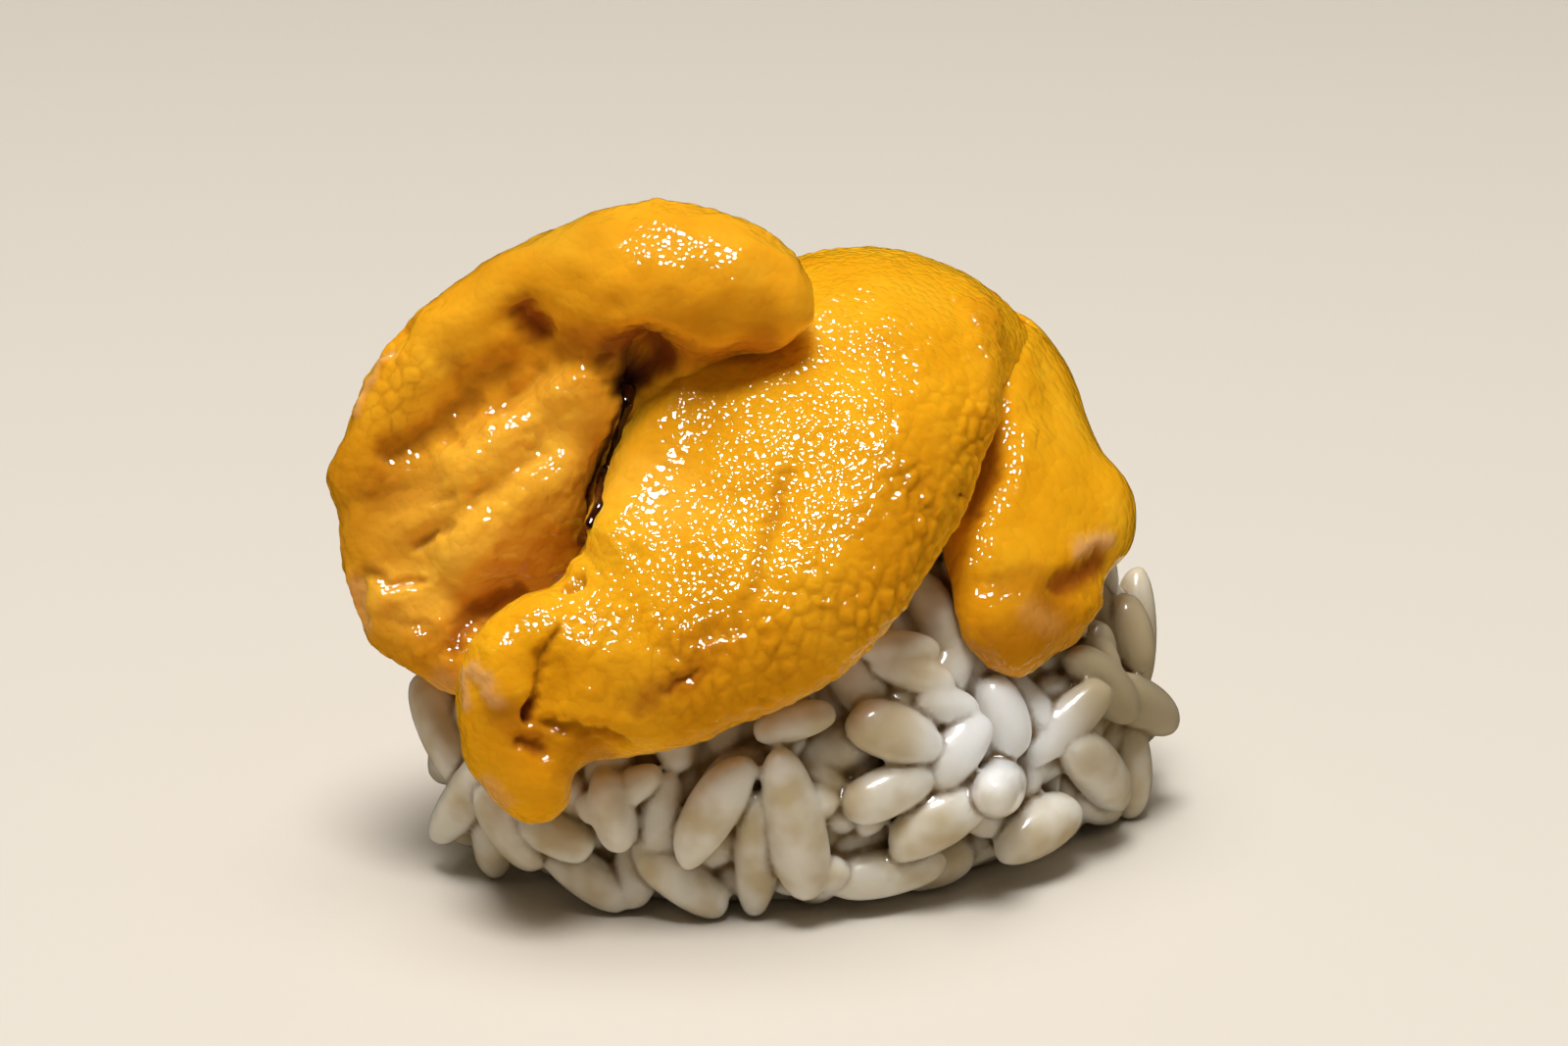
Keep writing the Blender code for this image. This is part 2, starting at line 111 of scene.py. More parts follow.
class Finish:
    """A material in the making: its node tree, its shader and the place on the piece."""

    def __init__(self, name: str) -> None:
        """Starts the material.

        Args:
            name: The material's name.
        """
        self.material = bpy.data.materials.new(name)
        self.material.use_nodes = True
        self.tree = self.material.node_tree
        self.place = self.node("ShaderNodeTexCoord", {}).outputs["Object"]

    def feed(self, node: bpy.types.Node, inputs: dict) -> None:
        """Sets a node's sockets or links them.

        Args:
            node: The node.
            inputs: Socket name or number to a value, or to the socket that feeds it.
        """
        for name, value in inputs.items():
            if isinstance(value, Socket):
                self.tree.links.new(value, node.inputs[name])
            else:
                node.inputs[name].default_value = value

    def node(self, kind: str, inputs: dict, **settings: str | bool) -> bpy.types.Node:
        """Adds a node.

        Args:
            kind: The node's type name.
            inputs: Socket name or number to a value, or to the socket that feeds it.
            settings: Attributes of the node.

        Returns:
            The new node.
        """
        node = self.tree.nodes.new(kind)
        for name, value in settings.items():
            setattr(node, name, value)
        self.feed(node, inputs)
        return node

    def noise(self, size_mm: float, **inputs: float) -> bpy.types.Node:
        """Adds a cloudy pattern with clouds of this size."""
        sockets = {"Vector": self.place, "Scale": 1 / (size_mm * MM), **inputs}
        return self.node("ShaderNodeTexNoise", sockets)

    def math(self, operation: str, one: Socket, two: Socket) -> Socket:
        """Works one value out of two."""
        return self.node("ShaderNodeMath", {0: one, 1: two}, operation=operation).outputs["Value"]

    def mark(self, mark: Mark) -> Socket:
        """The painted strength of one mark, from the piece's own attribute."""
        return self.node("ShaderNodeAttribute", {}, attribute_name=mark.value).outputs["Fac"]

    def span(self, value: Socket, limits: dict[str, float]) -> Socket:
        """Stretches a value from some limits to others."""
        return self.node("ShaderNodeMapRange", {"Value": value, **limits}).outputs["Result"]

    def bump(self, height: Socket, strength: Socket | float, most_mm: float, invert: bool) -> Socket:
        """Turns a height into a normal.

        Args:
            height: The height, from 0 to 1.
            strength: How strongly it shows.
            most_mm: How high the highest place is.
            invert: Whether the height is really a depth.

        Returns:
            The normal.
        """
        inputs = {"Height": height, "Strength": strength, "Distance": most_mm * MM}
        return self.node("ShaderNodeBump", inputs, invert=invert).outputs["Normal"]

    def ramp(self, factor: Socket, stops: list[tuple[float, str]]) -> Socket:
        """Turns a factor into a colour that runs through some stops.

        Args:
            factor: What drives it.
            stops: Each place from 0 to 1, with its hex colour.

        Returns:
            The colour.
        """
        ramp = self.node("ShaderNodeValToRGB", {"Fac": factor})
        elements = ramp.color_ramp.elements
        while len(elements) < len(stops):
            elements.new(0.5)
        for element, (place, colour) in zip(elements, stops):
            element.position = place
            element.color = linear(colour)
        return ramp.outputs["Color"]

    def mix(self, factor: Socket, under: Socket | str, over: Socket | str) -> Socket:
        """Lays one colour over another.

        Args:
            factor: How much of the upper colour shows.
            under: The lower colour, a socket or a hex value.
            over: The upper colour, a socket or a hex value.

        Returns:
            The mixed colour.
        """
        mix = self.node("ShaderNodeMix", {"Factor": factor}, data_type="RGBA")
        for letter, colour in (("A", under), ("B", over)):
            number = [s.name == letter and s.type == "RGBA" for s in mix.inputs].index(True)
            self.feed(mix, {number: linear(colour) if isinstance(colour, str) else colour})
        return [s for s in mix.outputs if s.type == "RGBA"][0]

    def finished(self, looks: dict) -> bpy.types.Material:
        """Gives the material, with the shader's sockets fed."""
        self.feed(self.tree.nodes["Principled BSDF"], looks)
        return self.material


@dataclass(frozen=True)
class UrchinFlesh:
    """Sea urchin roe: soft, fatty flesh, with a thin wet film that lets light a little way in.

    The film stands up in fine beads, which give sharp small highlights. Light scatters a
    millimetre or so inside, so that thin edges and lit bumps glow a warm yellow.
    """

    name: str
    bright: str = "F7B522"
    middle: str = "F0A818"
    deep: str = "E49A12"
    # Painted shade: the colour that the furrows between the grains darken toward.
    furrow_shade: str = "AC620A"
    # Brown of real stains, also used as painted shade in pits, creases, hollows and under overhangs.
    stain: str = "984A14"
    soy: str = "2A1216"
    pale: str = "DFA468"
    # Painted light: the tint that lightens the flesh where it should look more brightly lit.
    painted_light: str = "FFBA3C"
    # Painted shade: the tint that darkens the flesh where it should look more shaded.
    painted_shade: str = "B4700E"
    cloud_mm: float = 5.5
    furrow_shade_from: float = 0.66
    furrow_shade_most: float = 0.46
    bead_mm: float = 0.36
    bead_height_mm: float = 0.12
    stir_mm: float = 0.6
    stir_reach_mm: float = 0.25
    plain_bead: float = 0.9
    calm_bead: float = 0.2
    skin_bead: float = 0.3
    roughness: float = 0.45
    film_roughness: float = 0.055
    depth_mm: float = 0.8

    def colour(self, finish: Finish) -> Socket:
        """Mixes the colour of the flesh, the painted shade of its furrows and the marks on it, painted light
        and painted shade among them.

        Args:
            finish: The material in the making.

        Returns:
            The colour.
        """
        cloud = finish.noise(self.cloud_mm, Detail=3.0, Roughness=0.55).outputs["Fac"]
        colour = finish.ramp(cloud, [(0.3, self.deep), (0.5, self.middle), (0.7, self.bright)])
        # Painted shade in the furrows, from the relief of the grains.
        limits = {"From Min": self.furrow_shade_from, "From Max": 0.0, "To Max": self.furrow_shade_most}
        colour = finish.mix(finish.span(finish.mark(Mark.RELIEF), limits), colour, self.furrow_shade)
        # Painted light, painted shade, membranes, stains with painted shade, and soy.
        for mark, tint in (
            (Mark.BRIGHT, self.painted_light),
            (Mark.SHADE, self.painted_shade),
            (Mark.PALE, self.pale),
            (Mark.STAIN_AND_SHADE, self.stain),
            (Mark.SOY, self.soy),
        ):
            colour = finish.mix(finish.mark(mark), colour, tint)
        return colour

    def beads(self, finish: Finish) -> Socket:
        """Works out how far each place lies below the crown of its bead.

        Args:
            finish: The material in the making.

        Returns:
            The depth, from 0 on a crown.
        """
        stir = finish.noise(self.stir_mm, Detail=1.0).outputs["Color"]
        reach = (self.stir_reach_mm * MM,) * 3
        inputs = {0: stir, 1: reach, 2: finish.place}
        stirred = finish.node("ShaderNodeVectorMath", inputs, operation="MULTIPLY_ADD").outputs["Vector"]
        inputs = {"Vector": stirred, "Scale": 1 / (self.bead_mm * MM)}
        away = finish.node("ShaderNodeTexVoronoi", inputs).outputs["Distance"]
        return finish.math("MULTIPLY", away, away)

    def beading(self, finish: Finish) -> Socket:
        """Works out how strongly the beads show: less on calm or coarse flesh, most where it is wet.

        Args:
            finish: The material in the making.

        Returns:
            The strength.
        """
        even = finish.math("MAXIMUM", finish.mark(Mark.CALM), finish.mark(Mark.COARSE))
        calmer = finish.span(even, {"To Min": self.plain_bead, "To Max": self.calm_bead})
        return finish.math("MAXIMUM", calmer, finish.mark(Mark.WET))

    def make(self) -> bpy.types.Material:
        """Makes the material.

        Returns:
            The material.
        """
        finish = Finish(self.name)
        beads = self.beads(finish)
        looks = {
            "Base Color": self.colour(finish),
            "Roughness": self.roughness,
            "IOR": 1.38,
            "Specular IOR Level": 0.0,
            "Normal": finish.bump(beads, self.skin_bead, self.bead_height_mm, True),
            "Subsurface Weight": 0.35,
            "Subsurface Radius": (1.0, 0.42, 0.1),
            "Subsurface Scale": self.depth_mm * MM,
            "Coat Weight": 1.0,
            "Coat Roughness": self.film_roughness,
            "Coat IOR": 1.5,
            "Coat Normal": finish.bump(beads, self.beading(finish), self.bead_height_mm, True),
        }
        return finish.finished(looks)


@dataclass(frozen=True)
class CookedRice:
    """Steamed short-grain rice: moist, milky starch gel.

    Light goes well into each grain, so grains look pale and a little see-through, with a
    warmer heart. The damp surface has a soft, slightly uneven gloss.
    """

    name: str = "steamed short-grain rice"
    # Painted light: the colour of the most brightly lit grains.
    painted_light_white: str = "ECECEA"
    milk: str = "E0DACC"
    heart: str = "C6B694"
    # Painted shade: the colour in the hollows between the grains.
    seam_shade: str = "846A42"
    # Painted shade: the colour of the far corner of the ball.
    painted_shade_beige: str = "AE9F80"
    cloud_mm: float = 2.2
    dent_mm: float = 0.15
    roughness: float = 0.34
    depth_mm: float = 1.5

    def make(self) -> bpy.types.Material:
        """Makes the material.

        Returns:
            The material.
        """
        finish = Finish(self.name)
        cloud = finish.noise(self.cloud_mm, Detail=2.0).outputs["Fac"]
        body = finish.ramp(cloud, [(0.35, self.heart), (0.62, self.milk)])
        # Painted shade on the far corner, then painted light on the most brightly lit grains.
        body = finish.mix(finish.mark(Mark.SHADE), body, self.painted_shade_beige)
        body = finish.mix(finish.mark(Mark.BRIGHT), body, self.painted_light_white)
        looks = {
            # Painted shade between the grains.
            "Base Color": finish.mix(finish.mark(Mark.RELIEF), self.seam_shade, body),
            "Roughness": self.roughness,
            "IOR": 1.36,
            "Normal": finish.bump(cloud, 0.6, self.dent_mm, False),
            "Subsurface Weight": 1.0,
            "Subsurface Radius": (1.0, 0.92, 0.8),
            "Subsurface Scale": self.depth_mm * MM,
            "Coat Weight": 0.7,
            "Coat Roughness": 0.14,
        }
        return finish.finished(looks)


@dataclass(frozen=True)
class SoyFilm:
    """Soy sauce caught in a crease: a nearly black brown liquid with a mirror-like skin."""

    name: str = "soy sauce"
    thick: str = "1A0B0A"
    thin: str = "4A200F"
    cloud_mm: float = 0.8

    def make(self) -> bpy.types.Material:
        """Makes the material.

        Returns:
            The material.
        """
        finish = Finish(self.name)
        cloud = finish.noise(self.cloud_mm).outputs["Fac"]
        looks = {
            "Base Color": finish.ramp(cloud, [(0.4, self.thick), (0.7, self.thin)]),
            "Roughness": 0.08,
            "IOR": 1.35,
            "Coat Weight": 0.6,
            "Coat Roughness": 0.04,
        }
        return finish.finished(looks)


@dataclass(frozen=True)
class PaleBoard:
    """A matt, pale painted board under the food."""

    name: str = "pale matt board"
    colour: str = "DBD3C6"

    def make(self) -> bpy.types.Material:
        """Makes the material."""
        return Finish(self.name).finished({"Base Color": linear(self.colour), "Roughness": 0.7})


def select_only(obj: Thing) -> None:
    """Deselects everything, then selects and activates one object.

    Args:
        obj: The object.
    """
    bpy.ops.object.select_all(action="DESELECT")
    obj.select_set(True)
    bpy.context.view_layer.objects.active = obj


def apply_modifier(obj: Thing, name: str, kind: str, settings: dict) -> None:
    """Adds a modifier and applies it.

    Args:
        obj: The object that it changes.
        name: The modifier's name.
        kind: The modifier's type.
        settings: Its attributes.
    """
    select_only(obj)
    modifier = obj.modifiers.new(name, kind)
    for key, value in settings.items():
        setattr(modifier, key, value)
    bpy.ops.object.modifier_apply(modifier=modifier.name)


def remesh(obj: Thing, voxel_mm: float) -> None:
    """Gives an object one closed skin of small even faces."""
    apply_modifier(obj, "Skin", "REMESH", {"mode": "VOXEL", "voxel_size": voxel_mm * MM})


def smooth(obj: Thing, times: int, factor: float = 0.5) -> None:
    """Smooths an object's skin."""
    apply_modifier(obj, "Smooth", "SMOOTH", {"factor": factor, "iterations": times})


def add_ball(segments: int, rings: int, radius: float, middle: Vector | Place = (0, 0, 0)) -> Thing:
    """Adds a ball, with nothing else selected.

    Args:
        segments: How many segments go round it.
        rings: How many rings it has from pole to pole.
        radius: Its radius in metres.
        middle: Its middle.

    Returns:
        The ball.
    """
    sizes = {"segments": segments, "ring_count": rings, "radius": radius}
    bpy.ops.object.select_all(action="DESELECT")
    bpy.ops.mesh.primitive_uv_sphere_add(**sizes, location=middle)
    return bpy.context.object


def join(target: Thing, others: list[Thing]) -> None:
    """Makes objects part of another one.

    Args:
        target: The object that takes them in.
        others: The objects, which are gone afterwards.
    """
    select_only(target)
    for other in others:
        other.select_set(True)
    bpy.ops.object.join()


def dress(obj: Thing, material: bpy.types.Material, slot: str, *nodes: str) -> None:
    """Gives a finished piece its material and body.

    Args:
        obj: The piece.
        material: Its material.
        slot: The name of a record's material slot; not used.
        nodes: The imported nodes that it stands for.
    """
    obj.data.materials.clear()
    obj.data.materials.append(material)
    select_only(obj)
    bpy.ops.object.shade_smooth()
    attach(obj, "root")
    if nodes:
        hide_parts(*nodes)
    triangles = sum(len(polygon.vertices) - 2 for polygon in obj.data.polygons)
    LOG.info("%s: %d triangles", obj.name, triangles)


def tree_of(obj: Thing) -> BVHTree:
    """Makes a search tree over the faces of an object that sits at the origin.

    Args:
        obj: The object.

    Returns:
        The tree.
    """
    bm = bmesh.new()
    bm.from_mesh(obj.data)
    tree = BVHTree.FromBMesh(bm)
    bm.free()
    return tree


def inside(tree: BVHTree, point: Vector) -> bool:
    """Whether a point is inside a closed skin.

    Args:
        tree: The skin's search tree.
        point: The point.

    Returns:
        True where a line from the point crosses the skin an odd number of times.
    """
    way = Vector((0.31, -0.23, 0.92)).normalized()
    crossings = 0
    spot = tree.ray_cast(point, way)[0]
    while spot is not None:
        crossings += 1
        spot = tree.ray_cast(spot + way * (HAIR_MM * MM), way)[0]
    return crossings % 2 == 1


def on_plane(sight: Sight) -> Vector:
    """The point of the upright plane that appears at this place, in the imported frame."""
    across, up = sight
    return Vector((across, 0.0, up)) * MM - MIDDLE


def seen_point(tree: BVHTree, sight: Sight) -> Vector | None:
    """Where the line of sight meets a surface.

    Args:
        tree: The surface's search tree.
        sight: How far across and up the place appears, in mm.

    Returns:
        The point, or None where the line passes the surface by.
    """
    way = (on_plane(sight) - EYE).normalized()
    return tree.ray_cast(EYE, way)[0]


@dataclass(frozen=True)
class Stroke:
    """A soft mark along a run of places that the diner sees.

    A positive depth_mm presses the flesh in and a negative one raises it. The marks that
    colour it fade over the same width.
    """

    name: str
    width_mm: float
    depth_mm: float
    run: tuple[Sight, ...]
    marks: dict[Mark, float]


def stroke(name: str, width_mm: float, depth_mm: float, *run: Sight, **marks: float) -> Stroke:
    """Notes down one stroke.

    Args:
        name: What it draws.
        width_mm: How wide it is.
        depth_mm: How far it presses in.
        run: The places that it runs through.
        marks: The strength of each mark that it leaves, by the mark's value.

    Returns:
        The stroke.
    """
    strengths = {Mark(mark): strength for mark, strength in marks.items()}
    return Stroke(name, width_mm, depth_mm, run, strengths)


def points_array(mesh: bpy.types.Mesh) -> np.ndarray:
    """Reads the places of a mesh's vertices.

    Args:
        mesh: The mesh.

    Returns:
        The places, one row each.
    """
    values = np.empty(len(mesh.vertices) * 3)
    mesh.vertices.foreach_get("co", values)
    return values.reshape(-1, 3)


def normals_array(mesh: bpy.types.Mesh) -> np.ndarray:
    """Reads the normals of a mesh's vertices.

    Args:
        mesh: The mesh.

    Returns:
        The normals, one row each.
    """
    values = np.empty(len(mesh.vertices) * 3, dtype=np.float32)
    mesh.vertex_normals.foreach_get("vector", values)
    return values.reshape(-1, 3).astype(float)


def set_points(mesh: bpy.types.Mesh, points: np.ndarray) -> None:
    """Moves a mesh's vertices to these places."""
    mesh.vertices.foreach_set("co", points.ravel())
    mesh.update()


def set_mark(mesh: bpy.types.Mesh, mark: Mark, values: np.ndarray) -> None:
    """Stores the strength of a mark on each vertex.

    Args:
        mesh: The mesh.
        mark: The mark.
        values: Its strength on each vertex, cut off at 0 and 1.
    """
    attribute = mesh.attributes.get(mark.value)
    if attribute is None:
        attribute = mesh.attributes.new(mark.value, "FLOAT", "POINT")
    attribute.data.foreach_set("value", np.clip(values, 0, 1).astype(np.float32))


@dataclass(frozen=True)
class Seen:
    """How a piece's vertices appear to the diner.

    across_up holds where each appears on the upright plane, in mm, far holds its distance
    from the eye in mm, and facing tells from 0 to 1 how much it faces the eye.
    """

    across_up: np.ndarray
    far: np.ndarray
    facing: np.ndarray


# A mark is whole where the skin faces the eye at all, and ends just behind where it turns away.
FACING_GAIN = 4
FACING_START = 0.6


def as_seen(points: np.ndarray, normals: np.ndarray) -> Seen:
    """Looks at vertices from the diner's eye.

    Args:
        points: Their places, one row each.
        normals: Their normals.

    Returns:
        How they appear.
    """
    eye = np.array(EYE)
    way = points - eye
    far = np.linalg.norm(way, axis=1)
    onto = (-MIDDLE.y - eye[1]) / way[:, 1]
    on = eye + way * onto[:, None] + np.array(MIDDLE)
    turned = -np.einsum("ij,ij->i", way, normals) / far
    facing = np.clip(turned * FACING_GAIN + FACING_START, 0, 1)
    return Seen(on[:, [0, 2]] / MM, far / MM, facing)


def distance_to_run(seen: Seen, run: list[tuple[Sight, float]], free_mm: float) -> np.ndarray:
    """How far each vertex appears from a run of straight stretches, in mm.

    Args:
        seen: How the vertices appear.
        run: The corners of the run, each with its own distance from the eye in mm.
        free_mm: How much nearer or farther a vertex may be at no cost.

    Returns:
        The distances.
    """
    best = np.full(len(seen.far), np.inf)
    ends = run if len(run) > 1 else [run[0], run[0]]
    for (one, near), (two, off) in zip(ends, ends[1:]):
        start = np.array(one)
        way = np.array(two) - start
        length = float(way @ way)
        along = np.zeros(len(seen.far))
        if length > 0:
            along = np.clip((seen.across_up - start) @ way / length, 0, 1)
        flat = np.linalg.norm(seen.across_up - start - along[:, None] * way, axis=1)
        deep = np.maximum(np.abs(seen.far - near - along * (off - near)) - free_mm, 0)
        best = np.minimum(best, np.hypot(flat, deep))
    return best


def soft_noise(points: np.ndarray, size_mm: float, seed: float) -> np.ndarray:
    """Works out smooth noise from about -1 to 1.

    Args:
        points: The points, one row each.
        size_mm: How large the lumps of the noise are.
        seed: Shifts the noise.

    Returns:
        The noise at each point.
    """
    scale = 1 / (size_mm * MM)
    shift = Vector((seed, 2.7 * seed, -1.3 * seed))
    return np.array([noise.noise(Vector(p) * scale + shift) for p in points])


def drift(points: np.ndarray, size_mm: float, reach_mm: float) -> np.ndarray:
    """A smooth random shift for each point, in swirls of about this size and up to this far."""
    swirls = [noise.noise_vector(Vector(p) / (size_mm * MM)) for p in points]
    return np.array(swirls) * (reach_mm * MM)


@dataclass
class Tongue:
    """One tongue of sea urchin: a soft, grained piece of roe.

    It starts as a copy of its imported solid, whose facets are melted into a smooth skin.
    The grain, creases and pits are then worked into that skin.
    """

    node: str
    finish: UrchinFlesh
    first_voxel_mm: float = 0.32
    voxel_mm: float = 0.16
    melting: int = 14
    settling: int = 4
    lump_mm: float = 4.5
    lump_height_mm: float = 0.22
    finer: float = 2.3
    finer_height: float = 0.4
    ripple_mm: float = 1.7
    ripple_height_mm: float = 0.0
    # The size and the reach of each drift that the strokes wander by.
    wander_mm: tuple[tuple[float, float], ...] = ((1.1, 0.25), (0.4, 0.16))
    # How much nearer or farther than its run a stroke still works fully, in widths.
    slack: float = 0.6
    grain_mm: float = 0.88
    grain_stretch: float = 1.6
    grain_height_mm: float = 0.25
    grain_sizes: tuple[float, float] = (0.5, 1.3)
    # How close two grains may lie and how far one reaches, in grain sizes.
    grain_apart: float = 0.8
    grain_reach: float = 0.72
    neighbours: int = 6
    plain_grain: float = 0.35
    patch_mm: float = 2.6
    patch_mean: float = 0.9
    patch_swing: float = 0.8
    furrow_mm: float = 0.42
    furrow_share: float = 0.25
    stir_mm: float = 0.7
    stir_reach_mm: float = 0.3
    across: Place = (0.825, -0.565, 0.0)
    strokes: tuple[Stroke, ...] = ()
    fills: tuple[Sight, ...] = ()
    fill_mm: float = 1.4
    fill_sunk: float = 0.8
    # How far to both sides of a swelling the flesh is looked for that it fills up to.
    fill_look_mm: float = 1.2
    seed: int = 1

    def start_from_solid(self, nodes: dict[str, Thing]) -> Thing:
        """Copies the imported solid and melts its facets.

        Args:
            nodes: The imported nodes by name.

        Returns:
            The smooth start of the tongue.
        """
        select_only(nodes[self.node])
        bpy.ops.object.duplicate()
        piece = bpy.context.view_layer.objects.active
        bpy.ops.object.transform_apply(location=True, rotation=True, scale=True)
        piece.name = self.node + "_flesh"
        piece.data.name = piece.name
        self.fill_up(piece, nodes)
        bpy.ops.object.mode_set(mode="EDIT")
        bpy.ops.mesh.select_all(action="SELECT")
        bpy.ops.mesh.remove_doubles(threshold=HAIR_MM * MM)
        bpy.ops.object.mode_set(mode="OBJECT")
        remesh(piece, self.first_voxel_mm)
        smooth(piece, self.melting)
        remesh(piece, self.voxel_mm)
        smooth(piece, self.settling)
        return piece

    def fill_up(self, piece: Thing, nodes: dict[str, Thing]) -> None:
        """Swells the tongue where it presses against its neighbour.

        Args:
            piece: The copy of the solid, which the swellings become part of.
            nodes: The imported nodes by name.
        """
        trees = [tree_of(node) for name, node in nodes.items() if name.startswith("urchin")]
        balls = []
        for across, up in self.fills:
            far = []
            for shift in (-self.fill_look_mm, self.fill_look_mm):
                hits = [seen_point(tree, (across + shift, up)) for tree in trees]
                far += sorted((hit - EYE).length for hit in hits if hit is not None)[:1]
            way = (on_plane((across, up)) - EYE).normalized()
            middle = EYE + way * (max(far) + self.fill_sunk * self.fill_mm * MM)
            balls.append(add_ball(24, 12, self.fill_mm * MM, middle))
            bpy.ops.object.transform_apply(location=True, rotation=True, scale=True)
        if balls:
            join(piece, balls)

    def lump(self, piece: Thing) -> None:
        """Makes the skin softly uneven, as soft flesh is.

        Args:
            piece: The tongue.
        """
        points = points_array(piece.data)
        height = soft_noise(points, self.lump_mm, self.seed)
        height += self.finer_height * soft_noise(points, self.lump_mm / self.finer, self.seed + 5)
        height *= self.lump_height_mm
        if self.ripple_height_mm:
            height += soft_noise(points, self.ripple_mm, self.seed + 7) * self.ripple_height_mm
        set_points(piece.data, points + normals_array(piece.data) * (height * MM)[:, None])

    def press_strokes(self, piece: Thing) -> dict[Mark, np.ndarray]:
        """Presses and paints the strokes.

        Args:
            piece: The tongue.

        Returns:
            The painted strength of each mark on each vertex.
        """
        tree = tree_of(piece)
        points = points_array(piece.data)
        normals = normals_array(piece.data)
        wander = sum(drift(points, size, reach) for size, reach in self.wander_mm)
        seen = as_seen(points + wander, normals)
        painted = {mark: np.zeros(len(points)) for mark in Mark}
        move = np.zeros(len(points))
        for drawn in self.strokes:
            places = [(sight, seen_point(tree, sight)) for sight in drawn.run]
            run = [(sight, (place - EYE).length / MM) for sight, place in places if place is not None]
            if not run:
                LOG.warning("%s: the stroke for the %s misses it", piece.name, drawn.name)
                continue
            away = distance_to_run(seen, run, self.slack * drawn.width_mm)
            fade = np.exp(-((away / drawn.width_mm) ** 2)) * seen.facing
            move -= drawn.depth_mm * MM * fade
            stained = np.exp(-((away / drawn.width_mm) ** 3)) * seen.facing
            for mark, strength in drawn.marks.items():
                painted[mark] = np.maximum(painted[mark], strength * stained)
        set_points(piece.data, points + normals * move[:, None])
        return painted

    def grain_seeds(self, points: np.ndarray) -> np.ndarray:
        """Picks evenly spread places on the skin, one for each grain.

        Args:
            points: The skin's vertices.

        Returns:
            The picked places, one row each.
        """
        order = np.random.default_rng(self.seed).permutation(len(points))
        apart = self.grain_mm * MM * self.grain_apart
        taken: dict[tuple[int, int, int], list[np.ndarray]] = {}
        seeds = []
        cells = np.floor(points / apart).astype(int)
        for index in order:
            x, y, z = cells[index]
            place = points[index]
            near = (
                other
                for i in (x - 1, x, x + 1)
                for j in (y - 1, y, y + 1)
                for k in (z - 1, z, z + 1)
                for other in taken.get((i, j, k), ())
            )
            if all(((place - other) ** 2).sum() > apart * apart for other in near):
                taken.setdefault((x, y, z), []).append(place)
                seeds.append(place)
        return np.array(seeds)

    def grain(self, piece: Thing, calm: np.ndarray, coarse: np.ndarray) -> np.ndarray:
        """Raises the skin into rounded grains with fine furrows between them.

        Args:
            piece: The tongue.
            calm: How much smoother each vertex is than the rest, from 0 to 1.
            coarse: How much coarser it is than the rest, from 0 to 1.

        Returns:
            The relief of each vertex, from 0 in a furrow to 1 on a grain.
        """
        points = points_array(piece.data)
        normals = normals_array(piece.data)
        seeds = self.grain_seeds(points)
        search = kdtree.KDTree(len(seeds))
        for index, seed in enumerate(seeds):
            search.insert(seed, index)
        search.balance()
        stirred = points + drift(points, self.stir_mm, self.stir_reach_mm)
        nearest = np.array([[hit[1] for hit in search.find_n(p, self.neighbours)] for p in stirred])
        flow = np.cross(np.array(self.across), normals)
        flow /= np.maximum(np.linalg.norm(flow, axis=1), 1e-6)[:, None]
        offset = seeds[nearest] - stirred[:, None, :]
        along = np.einsum("nkc,nc->nk", offset, flow)
        squeezed = offset - flow[:, None, :] * (along * (1 - 1 / self.grain_stretch))[:, :, None]
        far = np.linalg.norm(squeezed, axis=2)
        pick = far.argmin(axis=1)
        nearer, farther = np.partition(far, 1, axis=1)[:, :2].T
        crown = np.clip((farther - nearer) / (self.furrow_mm * MM), 0, 1)
        dome = np.clip(1 - (nearer / (self.grain_reach * self.grain_mm * MM)) ** 2, 0, 1)
        relief = dome * (1 - self.furrow_share + self.furrow_share * crown)
        sizes = np.random.default_rng(self.seed + 1).uniform(*self.grain_sizes, len(seeds))
        size = sizes[nearest[np.arange(len(points)), pick]]
        plain = self.plain_grain + (1 - self.plain_grain) * coarse
        patches = self.patch_mean + self.patch_swing * soft_noise(points, self.patch_mm, self.seed + 9)
        strength = plain * patches * (1 - calm)
        height = (relief * size - 0.5) * strength
        set_points(piece.data, points + normals * (height * self.grain_height_mm * MM)[:, None])
        return 1 - (1 - crown) * np.clip(strength, 0, 1)

    def build(self, nodes: dict[str, Thing]) -> Thing:
        """Builds and dresses the tongue.

        Args:
            nodes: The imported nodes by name.

        Returns:
            The finished tongue.
        """
        piece = self.start_from_solid(nodes)
        self.lump(piece)
        painted = self.press_strokes(piece)
        # The relief also sets how much painted shade the furrows take.
        painted[Mark.RELIEF] = self.grain(piece, painted[Mark.CALM], painted[Mark.COARSE])
        for mark, values in painted.items():
            set_mark(piece.data, mark, values)
        dress(piece, self.finish.make(), "sea urchin flesh", self.node)
        return piece


@dataclass(frozen=True)
class SeenGrain:
    """A grain of rice that the diner sees whole: its two ends and its width.

    Each end is how far across and up it appears, in mm, and how far it stands off the bed
    of grains round the core.
    """

    start: Place
    end: Place
    width_mm: float


